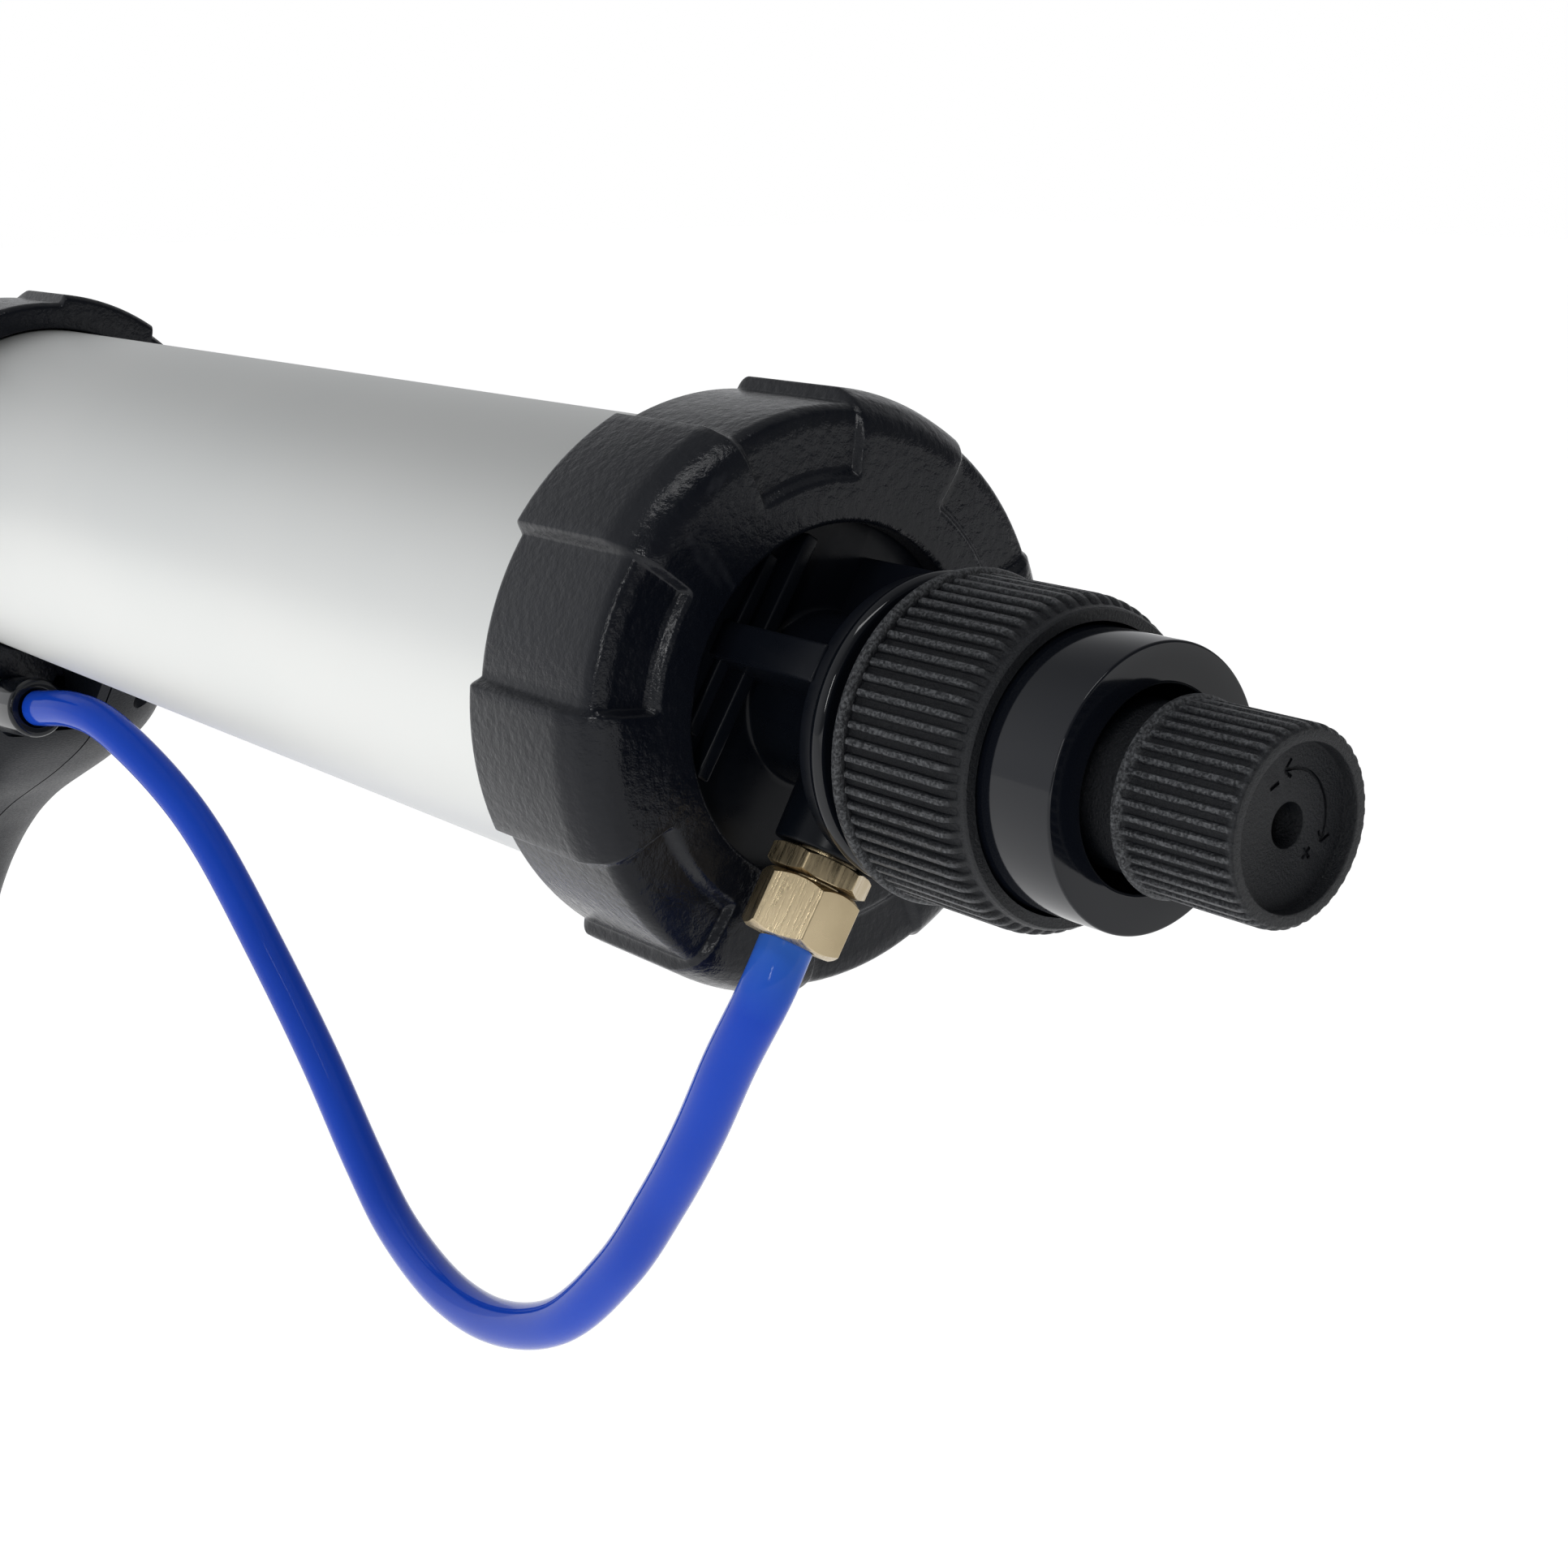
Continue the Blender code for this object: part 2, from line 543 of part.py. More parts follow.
for index, s in enumerate(SADDLE_SCREWS):
    turned("saddle_screw_%d" % (index + 1), [(26.1, 0.0), (26.1, 3.6), (28.0, 2.0), (34.5, 2.0), (34.5, 0.0)], STEEL, 12,
           (s, 0.0, 0.0), SADDLE_DIR, X)
for index, (s, h) in enumerate(HANDLE_SCREWS):
    turned("handle_screw_%d" % (index + 1), [(-14.6, 0.0), (-14.6, 2.6), (-14.0, 3.1), (-12.0, 3.1), (-12.0, 1.6),
                                              (9.4, 1.6), (9.4, 0.0)], STEEL, 12, (s, 0.0, h), (0, 1, 0), UP)

# ---------------------------------------------------------------- trigger and its pin
TRIGGER_SIDE = ((-321.5, -44.5), (-316.0, -42.3), (-311.0, -44.0), (-308.8, -49.0), (-309.2, -60.0), (-308.6, -69.0),
                (-308.6, -75.0), (-312.0, -82.0), (-313.6, -95.0), (-312.4, -107.0), (-318.0, -112.0), (-323.6, -110.0),
                (-320.8, -99.0), (-320.2, -86.0), (-322.0, -71.0), (-324.6, -58.0), (-324.8, -50.0))
trigger = prism("trigger", TRIGGER_SIDE, -4.9, 4.9, black("trigger_black"), (PIVOT_S, 0.0, PIVOT_H))
cut(trigger, turned("trigger_bore", [(-20.0, 0.0), (-20.0, 2.08), (20.0, 2.08), (20.0, 0.0)], None, 20,
                    (PIVOT_S, 0.0, PIVOT_H), (0, 1, 0), UP))
turned("trigger_pin", [(-15.6, 0.0), (-15.6, 2.0), (15.6, 2.0), (15.6, 0.0)], STEEL, 20,
       (PIVOT_S, 0.0, PIVOT_H), (0, 1, 0), UP)

# ---------------------------------------------------------------- air valve in the grip
VALVE = (VALVE_S, 0.0, VALVE_H)
body = turned("valve_body", [(0.0, 2.08), (0.0, 7.2), (0.3, 7.5), (28.0, 7.5), (28.0, 5.3), (6.2, 5.3), (6.2, 4.0),
                             (3.0, 4.0), (3.0, 2.08)], BRASS, 16, VALVE, X, UP)
cut(body, turned("valve_outlet", [(3.0, 0.0), (3.0, 1.3), (9.0, 1.3), (9.0, 0.0)], None, 8,
                 (VALVE_S + 4.6, 0.0, VALVE_H), UP, X),
    turned("valve_inlet", [(-9.0, 0.0), (-9.0, 2.0), (-4.0, 2.0), (-4.0, 0.0)], None, 8,
           (INLET_S, 0.0, VALVE_H), UP, X))
turned("valve_seat", [(6.6, 2.6), (6.6, 5.0), (9.2, 5.0), (9.2, 3.0), (8.8, 2.6)], RUBBER, 24, VALVE, X, UP)
turned("valve_stem", [(-7.3, 0.0), (-7.3, 1.7), (-7.0, 2.0), (9.5, 2.0), (9.5, 3.7), (11.6, 3.7), (11.6, 1.8),
                      (14.5, 1.8), (14.5, 0.0)], STEEL, 20, VALVE, X, UP, origin=VALVE)
tube_curve("valve_spring", coil_route((VALVE_S + 12.4, 0, VALVE_H), X, UP, 3.0, 10.4, 4.5), 0.4, SPRING, 0)
turned("valve_cap", [(23.6, 0.0), (23.6, 5.0), (28.3, 5.0), (28.3, 6.5), (30.0, 6.5), (30.0, 0.0)], BRASS, 24,
       VALVE, X, UP)
tube_curve("outlet_pipe", smooth_route((
    (VALVE_S + 4.6, 0, -64.2), (VALVE_S + 4.6, 0, -57), (-290, -1, -48.5), (-277, -3, -44.0), (-252, -5, -43.0),
    (-226, -8.5, -42.0), port - PORT_DIR * 37, port - PORT_DIR * 30, port - PORT_DIR * 25.4), 26), 2.4, black("pipe_black"), 1)
turned("hose_port", [(0.0, 3.3), (0.0, 4.6), (-0.5, 5.0), (-10.6, 5.0), (-10.6, 3.6), (-25.0, 3.6), (-25.0, 1.6),
                     (-0.9, 1.6), (-0.9, 3.3)], black("port_black"), 16, PORT, PORT_DIR, UP)
turned("inlet_pipe", [(-150.2, 2.0), (-150.2, 3.5), (-80.0, 3.5), (-80.0, 2.0)], black("pipe_black"), 20,
       (INLET_S, 0.0, 0.0), UP, X)
turned("inlet_bushing", [(-163.7, 4.6), (-163.7, 7.0), (-150.6, 7.0), (-150.6, 2.2), (-151.6, 2.2), (-151.6, 4.6)], BRASS,
       24, (INLET_S, 0.0, 0.0), UP, X)
hexagon("air_plug", 14.0, 164.5, 169.0, [(152.2, 2.2), (152.2, 4.3), (164.5, 4.3)],
        [(169.0, 5.6), (176.0, 5.6), (177.4, 4.4), (182.0, 4.4), (183.4, 5.0), (189.5, 4.2), (189.5, 2.2)],
        STEEL, (INLET_S, 0, 0), -UP, X, 0.5)

# ---------------------------------------------------------------- front end
front_origin = (PLATE_S, 0.0, 0.0)
turned("nozzle_plate", [(PLATE_S + 2.0, 10.6), (PLATE_S + 2.0, 25.2), (PLATE_S + 1.6, 25.6), (PLATE_S, 25.6),
                        (PLATE_S, DISC_R), (PLATE_S - 6.0, DISC_R), (PLATE_S - 6.0, 13.2), (PLATE_S - 18.7, 13.2),
                        (PLATE_S - 18.7, 10.6)], black("plate_black"), 28, origin=front_origin)
turned("nozzle", [(PLATE_S - 6.7, 13.6), (PLATE_S - 6.7, 16.8), (PLATE_S - 20.2, 16.8), (PLATE_S - 28.7, 13.0),
                  (PLATE_S - 124.7, 3.4), (PLATE_S - 124.7, 2.0), (PLATE_S - 29.7, 11.0), (PLATE_S - 19.7, 13.6)],
       NYLON, 24, origin=front_origin)

# ---------------------------------------------------------------- cylinder head, piston and rod
turned("cylinder_head", [(-195.3, ROD_R + 0.08), (-195.3, 25.2), (-195.7, 25.6), (-197.3, 25.6), (-197.3, DISC_R),
                         (-203.3, DISC_R), (-203.3, 19.0), (-207.6, 19.0), (-207.6, BARREL_R), (-211.2, BARREL_R),
                         (-211.2, 25.7), (-219.6, 25.7), (-219.6, 22.5), (-213.0, 21.5), (-213.0, ROD_R + 0.08),
                         (-208.0, ROD_R + 0.08), (-208.0, 6.9), (-206.0, 6.9), (-206.0, ROD_R + 0.08)],
       black("head_black"), 28)
turned("head_o_ring", [(-207.0 + 0.7 * math.cos(a), 5.9 + 0.68 * math.sin(a))
                       for a in (2 * math.pi * k / 5 for k in range(5))], RUBBER, 28)
piston_origin = (-20.0, 0.0, 0.0)
turned("piston", [(-32.0, 3.3), (-32.0, 20.0), (-29.5, 25.3), (-27.0, 25.3), (-27.0, 23.2), (-24.0, 23.2),
                  (-24.0, 25.3), (-18.0, 25.3), (-18.0, 23.2), (-15.0, 23.2), (-15.0, 25.3), (-12.0, 25.3),
                  (-12.0, 20.0), (-26.0, 18.0), (-26.0, 3.3)], black("piston_black"), 28, origin=piston_origin)
for index, s in enumerate((-25.5, -16.5)):
    turned(("front_lip_seal", "rear_lip_seal")[index], [(s - 1.2, 23.5), (s - 1.2, 25.4), (s, 25.75), (s + 1.2, 25.4),
                                                        (s + 1.2, 23.5)], RUBBER, 28, origin=piston_origin)
turned("piston_rod", [(-231.0, 0.0), (-231.0, 2.6), (-230.6, 3.0), (-223.7, 3.0), (-223.7, 4.6), (-223.3, ROD_R),
                      (-32.7, ROD_R), (-32.3, 4.6), (-32.3, 3.0), (-18.4, 3.0), (-18.0, 2.6), (-18.0, 0.0)], STEEL, 28,
       origin=piston_origin)
hexagon("rod_nut", 10.0, 20.7, 25.7, [(20.7, 3.3)], [(25.7, 3.3)], STEEL, (0, 0, 0), -X, UP, 0.4)
turned("push_plate", [(-232.8, 0.0), (-232.8, 21.0), (-231.3, 22.5), (-226.0, 22.5), (-224.0, 9.0), (-224.0, 3.3),
                      (-231.4, 3.3), (-231.4, 0.0)], black("push_black"), 28, origin=(-232.8, 0.0, 0.0))
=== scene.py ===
"""Looks of the pneumatic sealant gun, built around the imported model."""

import math

import bmesh
import bpy
from mathutils import Matrix, Vector


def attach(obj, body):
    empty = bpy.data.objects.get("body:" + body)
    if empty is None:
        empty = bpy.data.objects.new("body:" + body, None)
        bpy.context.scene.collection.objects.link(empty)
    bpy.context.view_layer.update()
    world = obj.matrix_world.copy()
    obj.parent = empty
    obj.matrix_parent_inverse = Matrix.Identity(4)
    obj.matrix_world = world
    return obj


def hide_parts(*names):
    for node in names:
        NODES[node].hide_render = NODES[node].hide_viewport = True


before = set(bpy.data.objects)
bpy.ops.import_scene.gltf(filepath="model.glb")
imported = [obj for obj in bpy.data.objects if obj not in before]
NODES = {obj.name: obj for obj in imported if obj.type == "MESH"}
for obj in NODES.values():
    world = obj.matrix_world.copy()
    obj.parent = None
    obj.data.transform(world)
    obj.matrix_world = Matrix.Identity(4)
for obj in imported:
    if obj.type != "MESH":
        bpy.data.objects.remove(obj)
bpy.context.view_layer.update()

# ---------------------------------------------------------------- sizes (mm on the gun)
# The gun's axis runs along X at the height -GRIP_H above the part's origin, which is in the grip.
GRIP_S = -286.0
GRIP_H = -100.0
X = Vector((1.0, 0.0, 0.0))
Y = Vector((0.0, 1.0, 0.0))
UP = Vector((0.0, 0.0, 1.0))
TUBE_R = 27.5
TUBE_BORE_R = 26.0
HEX_AF = 10.0
FIT_DEG = 148.0
FIT_AT = Vector((30.0, 0.0, 0.0))
HOSE_NUT_END = 26.0
HOSE_R = 3.0
PORT = Vector((-173.3, -11.5, -34.0))
PORT_DIR = Vector((math.cos(math.radians(8.0)), 0.0, math.sin(math.radians(8.0))))
PIVOT = (-316.0, 0.0, -49.0)
INLET_S = -287.0
PLATE_S = -399.3
HANDLE_SCREWS = ((-222.0, -50.5), (-298.0, -44.0), (-277.0, -104.0), (-301.0, -147.0))
SADDLE_SCREWS = (-174.0, -181.7, -238.0, -300.0)
SADDLE_DEG = 13.0
WALL = 3.2


def pt(s, y, h):
    """Gun coordinates in millimetres to the part's frame in metres."""
    return Vector(((s - GRIP_S) / 1000.0, y / 1000.0, (h - GRIP_H) / 1000.0))


def left_dir(deg):
    """Radial direction at an angle from the top towards the gun's left."""
    return Vector((0.0, -math.sin(math.radians(deg)), math.cos(math.radians(deg))))


AXIS_Z = -GRIP_H / 1000.0
FIT_DIR = left_dir(FIT_DEG)
FIT_CROSS = left_dir(FIT_DEG - 90.0)

# ---------------------------------------------------------------- camera
scene = bpy.context.scene
camera_data = bpy.data.cameras.new("camera")
camera_data.lens = 56.0
camera_data.sensor_width = 36.0
camera_data.clip_start = 0.01
camera_data.clip_end = 50.0
camera = bpy.data.objects.new("camera", camera_data)
scene.collection.objects.link(camera)
CAMERA_AT = Vector((0.5034, -0.1658, 0.1591))
CAMERA_RIGHT = Vector((0.6290, 0.7774, 0.0)).normalized()
CAMERA_FORWARD = Vector((-0.7515, 0.6079, -0.2565)).normalized()
CAMERA_UP = CAMERA_RIGHT.cross(CAMERA_FORWARD).normalized()
camera_turn = Matrix((CAMERA_RIGHT, CAMERA_UP, -CAMERA_FORWARD)).transposed()
camera.matrix_world = Matrix.Translation(CAMERA_AT) @ camera_turn.to_4x4()
scene.camera = camera


# ---------------------------------------------------------------- materials
def new_material(name):
    mat = bpy.data.materials.new(name)
    mat.use_nodes = True
    tree = mat.node_tree
    shader = tree.nodes["Principled BSDF"]
    coords = tree.nodes.new("ShaderNodeTexCoord")
    return mat, tree, shader, coords


def noise(tree, coords, scale, detail=3.0, stretch=(1.0, 1.0, 1.0), roughness=0.5):
    mapping = tree.nodes.new("ShaderNodeMapping")
    mapping.inputs["Scale"].default_value = stretch
    tree.links.new(coords.outputs["Object"], mapping.inputs["Vector"])
    node = tree.nodes.new("ShaderNodeTexNoise")
    node.inputs["Scale"].default_value = scale
    node.inputs["Detail"].default_value = detail
    node.inputs["Roughness"].default_value = roughness
    tree.links.new(mapping.outputs["Vector"], node.inputs["Vector"])
    return node.outputs["Fac"]


def remap(tree, value, low, high, start=0.0, end=1.0):
    node = tree.nodes.new("ShaderNodeMapRange")
    node.inputs["From Min"].default_value = start
    node.inputs["From Max"].default_value = end
    node.inputs["To Min"].default_value = low
    node.inputs["To Max"].default_value = high
    tree.links.new(value, node.inputs["Value"])
    return node.outputs["Result"]


def blend_colours(tree, factor, first, second):
    node = tree.nodes.new("ShaderNodeMix")
    node.data_type = "RGBA"
    for socket, colour in ((node.inputs["A"], first), (node.inputs["B"], second)):
        if isinstance(colour, tuple):
            socket.default_value = (*colour, 1.0)
        else:
            tree.links.new(colour, socket)
    tree.links.new(factor, node.inputs["Factor"])
    return node.outputs["Result"]


def arithmetic(tree, operation, first, second):
    node = tree.nodes.new("ShaderNodeMath")
    node.operation = operation
    for socket, value in zip(node.inputs, (first, second)):
        if isinstance(value, (int, float)):
            socket.default_value = value
        else:
            tree.links.new(value, socket)
    return node.outputs["Value"]


def bump(tree, shader, heights):
    """Stacked bumps of (height, strength, distance in metres)."""
    before = None
    for height, strength, distance in heights:
        node = tree.nodes.new("ShaderNodeBump")
        node.inputs["Strength"].default_value = strength
        node.inputs["Distance"].default_value = distance
        tree.links.new(height, node.inputs["Height"])
        if before:
            tree.links.new(before, node.inputs["Normal"])
        before = node.outputs["Normal"]
    tree.links.new(before, shader.inputs["Normal"])


def surface(name, dark, light, rough, grain, relief, depth, broad, metallic=0.0, specular=0.5, worn=0.0,
            wander=0.03, stretch=(1.0, 1.0, 1.0)):
    """A procedural finish.

    Two colours are mixed by a broad noise of scale broad. A fine noise of scale grain moves the roughness
    between the two values of rough, and makes a relief of depth metres. Wander moves the roughness with the
    broad noise, and worn above 0 makes sharp edges paler.
    """
    mat, tree, shader, coords = new_material(name)
    fine = noise(tree, coords, grain, 4.0, stretch, 0.6)
    wide = noise(tree, coords, broad, 3.0)
    colour = blend_colours(tree, remap(tree, wide, 0.0, 1.0, 0.35, 0.65), dark, light)
    if worn:
        point = tree.nodes.new("ShaderNodeNewGeometry").outputs["Pointiness"]
        edge = arithmetic(tree, "MULTIPLY", remap(tree, point, 0.0, worn, 0.53, 0.62), fine)
        pale = tuple(min(1.0, c * 2.0 + 0.02) for c in light)
        colour = blend_colours(tree, edge, colour, pale)
    tree.links.new(colour, shader.inputs["Base Color"])
    mixed = arithmetic(tree, "ADD", remap(tree, fine, rough[0], rough[1], 0.3, 0.7),
                       remap(tree, wide, -wander, wander, 0.3, 0.7))
    tree.links.new(mixed, shader.inputs["Roughness"])
    shader.inputs["Metallic"].default_value = metallic
    shader.inputs["Specular IOR Level"].default_value = specular
    bump(tree, shader, [(fine, relief, depth)])
    return mat


ALU = surface("anodised_aluminium", (0.680, 0.690, 0.676), (0.700, 0.706, 0.690), rough=(0.42, 0.46),
              grain=5200.0, relief=0.06, depth=0.00004, broad=25.0, metallic=1.0, wander=0.004)
RING = surface("ring_plastic", (0.003, 0.004, 0.007), (0.006, 0.007, 0.010), rough=(0.14, 0.28),
               grain=900.0, relief=0.45, depth=0.0003, broad=80.0, specular=0.24, worn=0.5)
HANDLE = surface("handle_plastic", (0.002, 0.003, 0.005), (0.004, 0.005, 0.008), rough=(0.30, 0.44),
                 grain=2300.0, relief=0.40, depth=0.00014, broad=70.0, specular=0.07, worn=0.4)
MOULD = surface("inner_plastic", (0.002, 0.003, 0.005), (0.004, 0.005, 0.008), rough=(0.26, 0.34),
                grain=500.0, relief=0.05, depth=0.0001, broad=60.0, specular=0.13, wander=0.01)
GLOSS = surface("gloss_plastic", (0.003, 0.004, 0.006), (0.004, 0.005, 0.008), rough=(0.07, 0.11),
                grain=300.0, relief=0.015, depth=0.0001, broad=40.0, specular=0.34, wander=0.01)
BRASS = surface("machined_brass", (0.27, 0.21, 0.12), (0.62, 0.51, 0.33), rough=(0.16, 0.50),
                grain=210.0, relief=0.55, depth=0.0001, broad=30.0, metallic=1.0, stretch=(20.0, 1.0, 1.0))
STEEL = surface("zinc_steel", (0.44, 0.45, 0.47), (0.56, 0.57, 0.58), rough=(0.22, 0.38),
                grain=1800.0, relief=0.12, depth=0.00006, broad=300.0, metallic=1.0)
RUBBER = surface("seal_rubber", (0.010, 0.010, 0.011), (0.016, 0.016, 0.017), rough=(0.55, 0.75),
                 grain=2600.0, relief=0.2, depth=0.0001, broad=90.0)
NYLON = surface("orange_nylon", (0.70, 0.17, 0.015), (0.80, 0.23, 0.025), rough=(0.32, 0.46),
                grain=1400.0, relief=0.12, depth=0.0001, broad=60.0, worn=0.3)


def knurled(name, groove, crest):
    """Black knurled plastic with painted light: the crests are painted pale as a painted highlight and the
    grooves dark as painted shade, told apart by their radii; the crests are also grainy and rougher than the
    smooth grooves.
    """
    mat, tree, shader, coords = new_material(name)
    split = tree.nodes.new("ShaderNodeSeparateXYZ")
    tree.links.new(coords.outputs["Object"], split.inputs["Vector"])
    height = arithmetic(tree, "SUBTRACT", split.outputs["Z"], AXIS_Z)
    square = arithmetic(tree, "ADD", arithmetic(tree, "MULTIPLY", split.outputs["Y"], split.outputs["Y"]),
                        arithmetic(tree, "MULTIPLY", height, height))
    radius = arithmetic(tree, "SQRT", square, 0.0)
    top = remap(tree, radius, 0.0, 1.0, groove / 1000.0, crest / 1000.0)
    fine = noise(tree, coords, 3000.0, 5.0, (1.0, 1.0, 1.0), 0.7)
    # Painted light: pale on the crests as a painted highlight and near black in the grooves as painted shade,
    # broken up by grain from the fine noise.
    crest_grain_and_painted_light = arithmetic(tree, "MULTIPLY", top, remap(tree, fine, 0.0, 1.0, 0.42, 0.66))
    colour = blend_colours(tree, crest_grain_and_painted_light, (0.001, 0.002, 0.004), (0.100, 0.104, 0.110))
    tree.links.new(colour, shader.inputs["Base Color"])
    rough = arithmetic(tree, "ADD", remap(tree, fine, 0.26, 0.44), arithmetic(tree, "MULTIPLY", top, 0.06))
    tree.links.new(rough, shader.inputs["Roughness"])
    shader.inputs["Specular IOR Level"].default_value = 0.34
    bump(tree, shader, [(fine, 0.75, 0.0003)])
    return mat


COLLAR = knurled("knurled_collar_plastic", 16.50, 16.95)
KNOB = knurled("knurled_knob_plastic", 9.05, 9.45)


def hose_material():
    """Blue polyurethane: deep colour, clear gloss, paler where it is stretched over the fitting's tail."""
    mat, tree, shader, coords = new_material("blue_polyurethane")
    fine = noise(tree, coords, 260.0, 2.0)
    wide = noise(tree, coords, 30.0, 2.0)
    depth = remap(tree, wide, 0.0, 1.0, 0.3, 0.7)
    blue = blend_colours(tree, depth, (0.006, 0.046, 0.390), (0.008, 0.057, 0.460))
    near = tree.nodes.new("ShaderNodeVectorMath")
    near.operation = "DISTANCE"
    tree.links.new(coords.outputs["Object"], near.inputs[0])
    near.inputs[1].default_value = pt(*(FIT_AT + FIT_DIR * HOSE_NUT_END))
    stretched = remap(tree, near.outputs["Value"], 0.55, 0.0, 0.003, 0.009)
    tree.links.new(blend_colours(tree, stretched, blue, (0.05, 0.17, 0.56)), shader.inputs["Base Color"])
    tree.links.new(remap(tree, fine, 0.06, 0.11), shader.inputs["Roughness"])
    shader.inputs["Specular IOR Level"].default_value = 0.11
    shader.inputs["Subsurface Weight"].default_value = 0.1
    shader.inputs["Subsurface Scale"].default_value = 0.002
    shader.inputs["Subsurface Radius"].default_value = (0.2, 0.5, 1.0)
    bump(tree, shader, [(fine, 0.04, 0.0002)])
    return mat


HOSE = hose_material()


# ---------------------------------------------------------------- mesh helpers
def finish_mesh(obj, angle=34.0):
    obj.data.shade_smooth()
    obj.data.set_sharp_from_angle(angle=math.radians(angle))
    return obj


def make(name, verts, faces, mat=None):
    mesh = bpy.data.meshes.new(name)
    mesh.from_pydata([pt(*v) for v in verts], [], faces)
    bm = bmesh.new()
    bm.from_mesh(mesh)
    bmesh.ops.recalc_face_normals(bm, faces=bm.faces)
    bm.to_mesh(mesh)
    bm.free()
    mesh.validate()
    obj = bpy.data.objects.new(name, mesh)
    scene.collection.objects.link(obj)
    if mat:
        mesh.materials.append(mat)
    return finish_mesh(obj)


def rounded(profile, radius, steps=4):
    """Fillets each corner of a closed profile of (t, r) or (t, r, corner radius) points."""
    out = []
    count = len(profile)
    for i in range(count):
        here = Vector(profile[i][:2])
        before = Vector(profile[i - 1][:2])
        after = Vector(profile[(i + 1) % count][:2])
        if here.y < 1e-6:
            out.append(tuple(here))
            continue
        want = profile[i][2] if len(profile[i]) > 2 else radius
        a = before - here
        b = after - here
        reach = min(want, a.length * 0.45, b.length * 0.45)
        p = here + a.normalized() * reach
        q = here + b.normalized() * reach
        for k in range(steps + 1):
            f = k / steps
            out.append(tuple(p * (1 - f) * (1 - f) + here * 2 * f * (1 - f) + q * f * f))
    return out


def turned(name, profile, mat=None, segs=160, centre=(0.0, 0.0, 0.0), axis=X, ref=UP, radius_at=None):
    """A closed profile of (t, r) points turned about an axis; radius_at may change a radius by angle."""
    centre = Vector(centre)
    axis = Vector(axis).normalized()
    ref = Vector(ref)
    ref = (ref - axis * ref.dot(axis)).normalized()
    side = axis.cross(ref)
    verts = []
    rings = []
    for t, r in profile:
        base = centre + axis * t
        if r <= 1e-6:
            verts.append(base)
            rings.append([len(verts) - 1])
            continue
        rings.append(range(len(verts), len(verts) + segs))
        for k in range(segs):
            ang = 2.0 * math.pi * k / segs
            rr = radius_at(t, ang, r) if radius_at else r
            verts.append(base + (ref * math.cos(ang) + side * math.sin(ang)) * rr)
    faces = []
    for i, a in enumerate(rings):
        b = rings[(i + 1) % len(rings)]
        if len(a) == 1 and len(b) == 1:
            continue
        for k in range(segs):
            n = (k + 1) % segs
            if len(a) == 1:
                faces.append((a[0], b[k], b[n]))
            elif len(b) == 1:
                faces.append((a[k], b[0], a[n]))
            else:
                faces.append((a[k], b[k], b[n], a[n]))
    return make(name, verts, faces, mat)


def slab(name, centre, axes, halves, mat=None, bevel=0.0):
    """A block along three directions with rounded edges, half sizes in millimetres."""
    centre = Vector(centre)
    u, v, w = (Vector(a).normalized() for a in axes)
    verts = []
    for k in (-1, 1):
        for i, j in ((-1, -1), (1, -1), (1, 1), (-1, 1)):
            verts.append(centre + u * halves[0] * i + v * halves[1] * j + w * halves[2] * k)
    faces = [(0, 3, 2, 1), (4, 5, 6, 7), (0, 1, 5, 4), (1, 2, 6, 5), (2, 3, 7, 6), (3, 0, 4, 7)]
    obj = make(name, verts, faces, mat)
    if bevel:
        bevel_edges(obj, bevel)
    return obj


def bevel_edges(obj, width, angle=35.0, steps=3):
    """Rounds the edges of a mesh that are sharper than an angle, width in millimetres."""
    mod = obj.modifiers.new("bevel", "BEVEL")
    mod.width = width / 1000.0
    mod.segments = steps
    mod.limit_method = "ANGLE"
    mod.angle_limit = math.radians(angle)
    return settle(obj)


def settle(obj):
    """Applies an object's modifiers."""
    graph = bpy.context.evaluated_depsgraph_get()
    mesh = bpy.data.meshes.new_from_object(obj.evaluated_get(graph))
    obj.modifiers.clear()
    obj.data = mesh
    return finish_mesh(obj)


def combine(obj, operation, others):
    """Boolean of an object with closed shapes, which are then removed."""
    for other in others:
        mod = obj.modifiers.new("shape", "BOOLEAN")
        mod.operation = operation
        mod.solver = "MANIFOLD"
        mod.object = other
        settle(obj)
        bpy.data.objects.remove(other, do_unlink=True)
    return obj


def smooth_route(points, count):
    """Evenly spaced points on a smooth curve through given route points."""
    pts = [Vector(p) for p in points]
    ends = [pts[0] * 2 - pts[1]] + pts + [pts[-1] * 2 - pts[-2]]
    fine = []
    for i in range(1, len(ends) - 2):
        p0, p1, p2, p3 = ends[i - 1:i + 3]
        for k in range(24):
            t = k / 24.0
            a = p1 * 2.0
            b = (p2 - p0) * t
            c = (p0 * 2 - p1 * 5 + p2 * 4 - p3) * t * t
            d = (p1 * 3 - p0 - p2 * 3 + p3) * t * t * t
            fine.append((a + b + c + d) * 0.5)
    fine.append(pts[-1])
    run = [0.0]
    for a, b in zip(fine, fine[1:]):
        run.append(run[-1] + (b - a).length)
    out = []
    j = 0
    for k in range(count):
        want = run[-1] * k / (count - 1)
        while j < len(run) - 2 and run[j + 1] < want:
            j += 1
        f = (want - run[j]) / (run[j + 1] - run[j])
        out.append(fine[j].lerp(fine[j + 1], f))
    return out


def place(obj, body, slot, *nodes):
    """Puts a finished piece on its body and hides the CAD nodes that it stands for. The slot is not used."""
    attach(obj, body)
    if nodes:
        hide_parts(*nodes)
    return obj


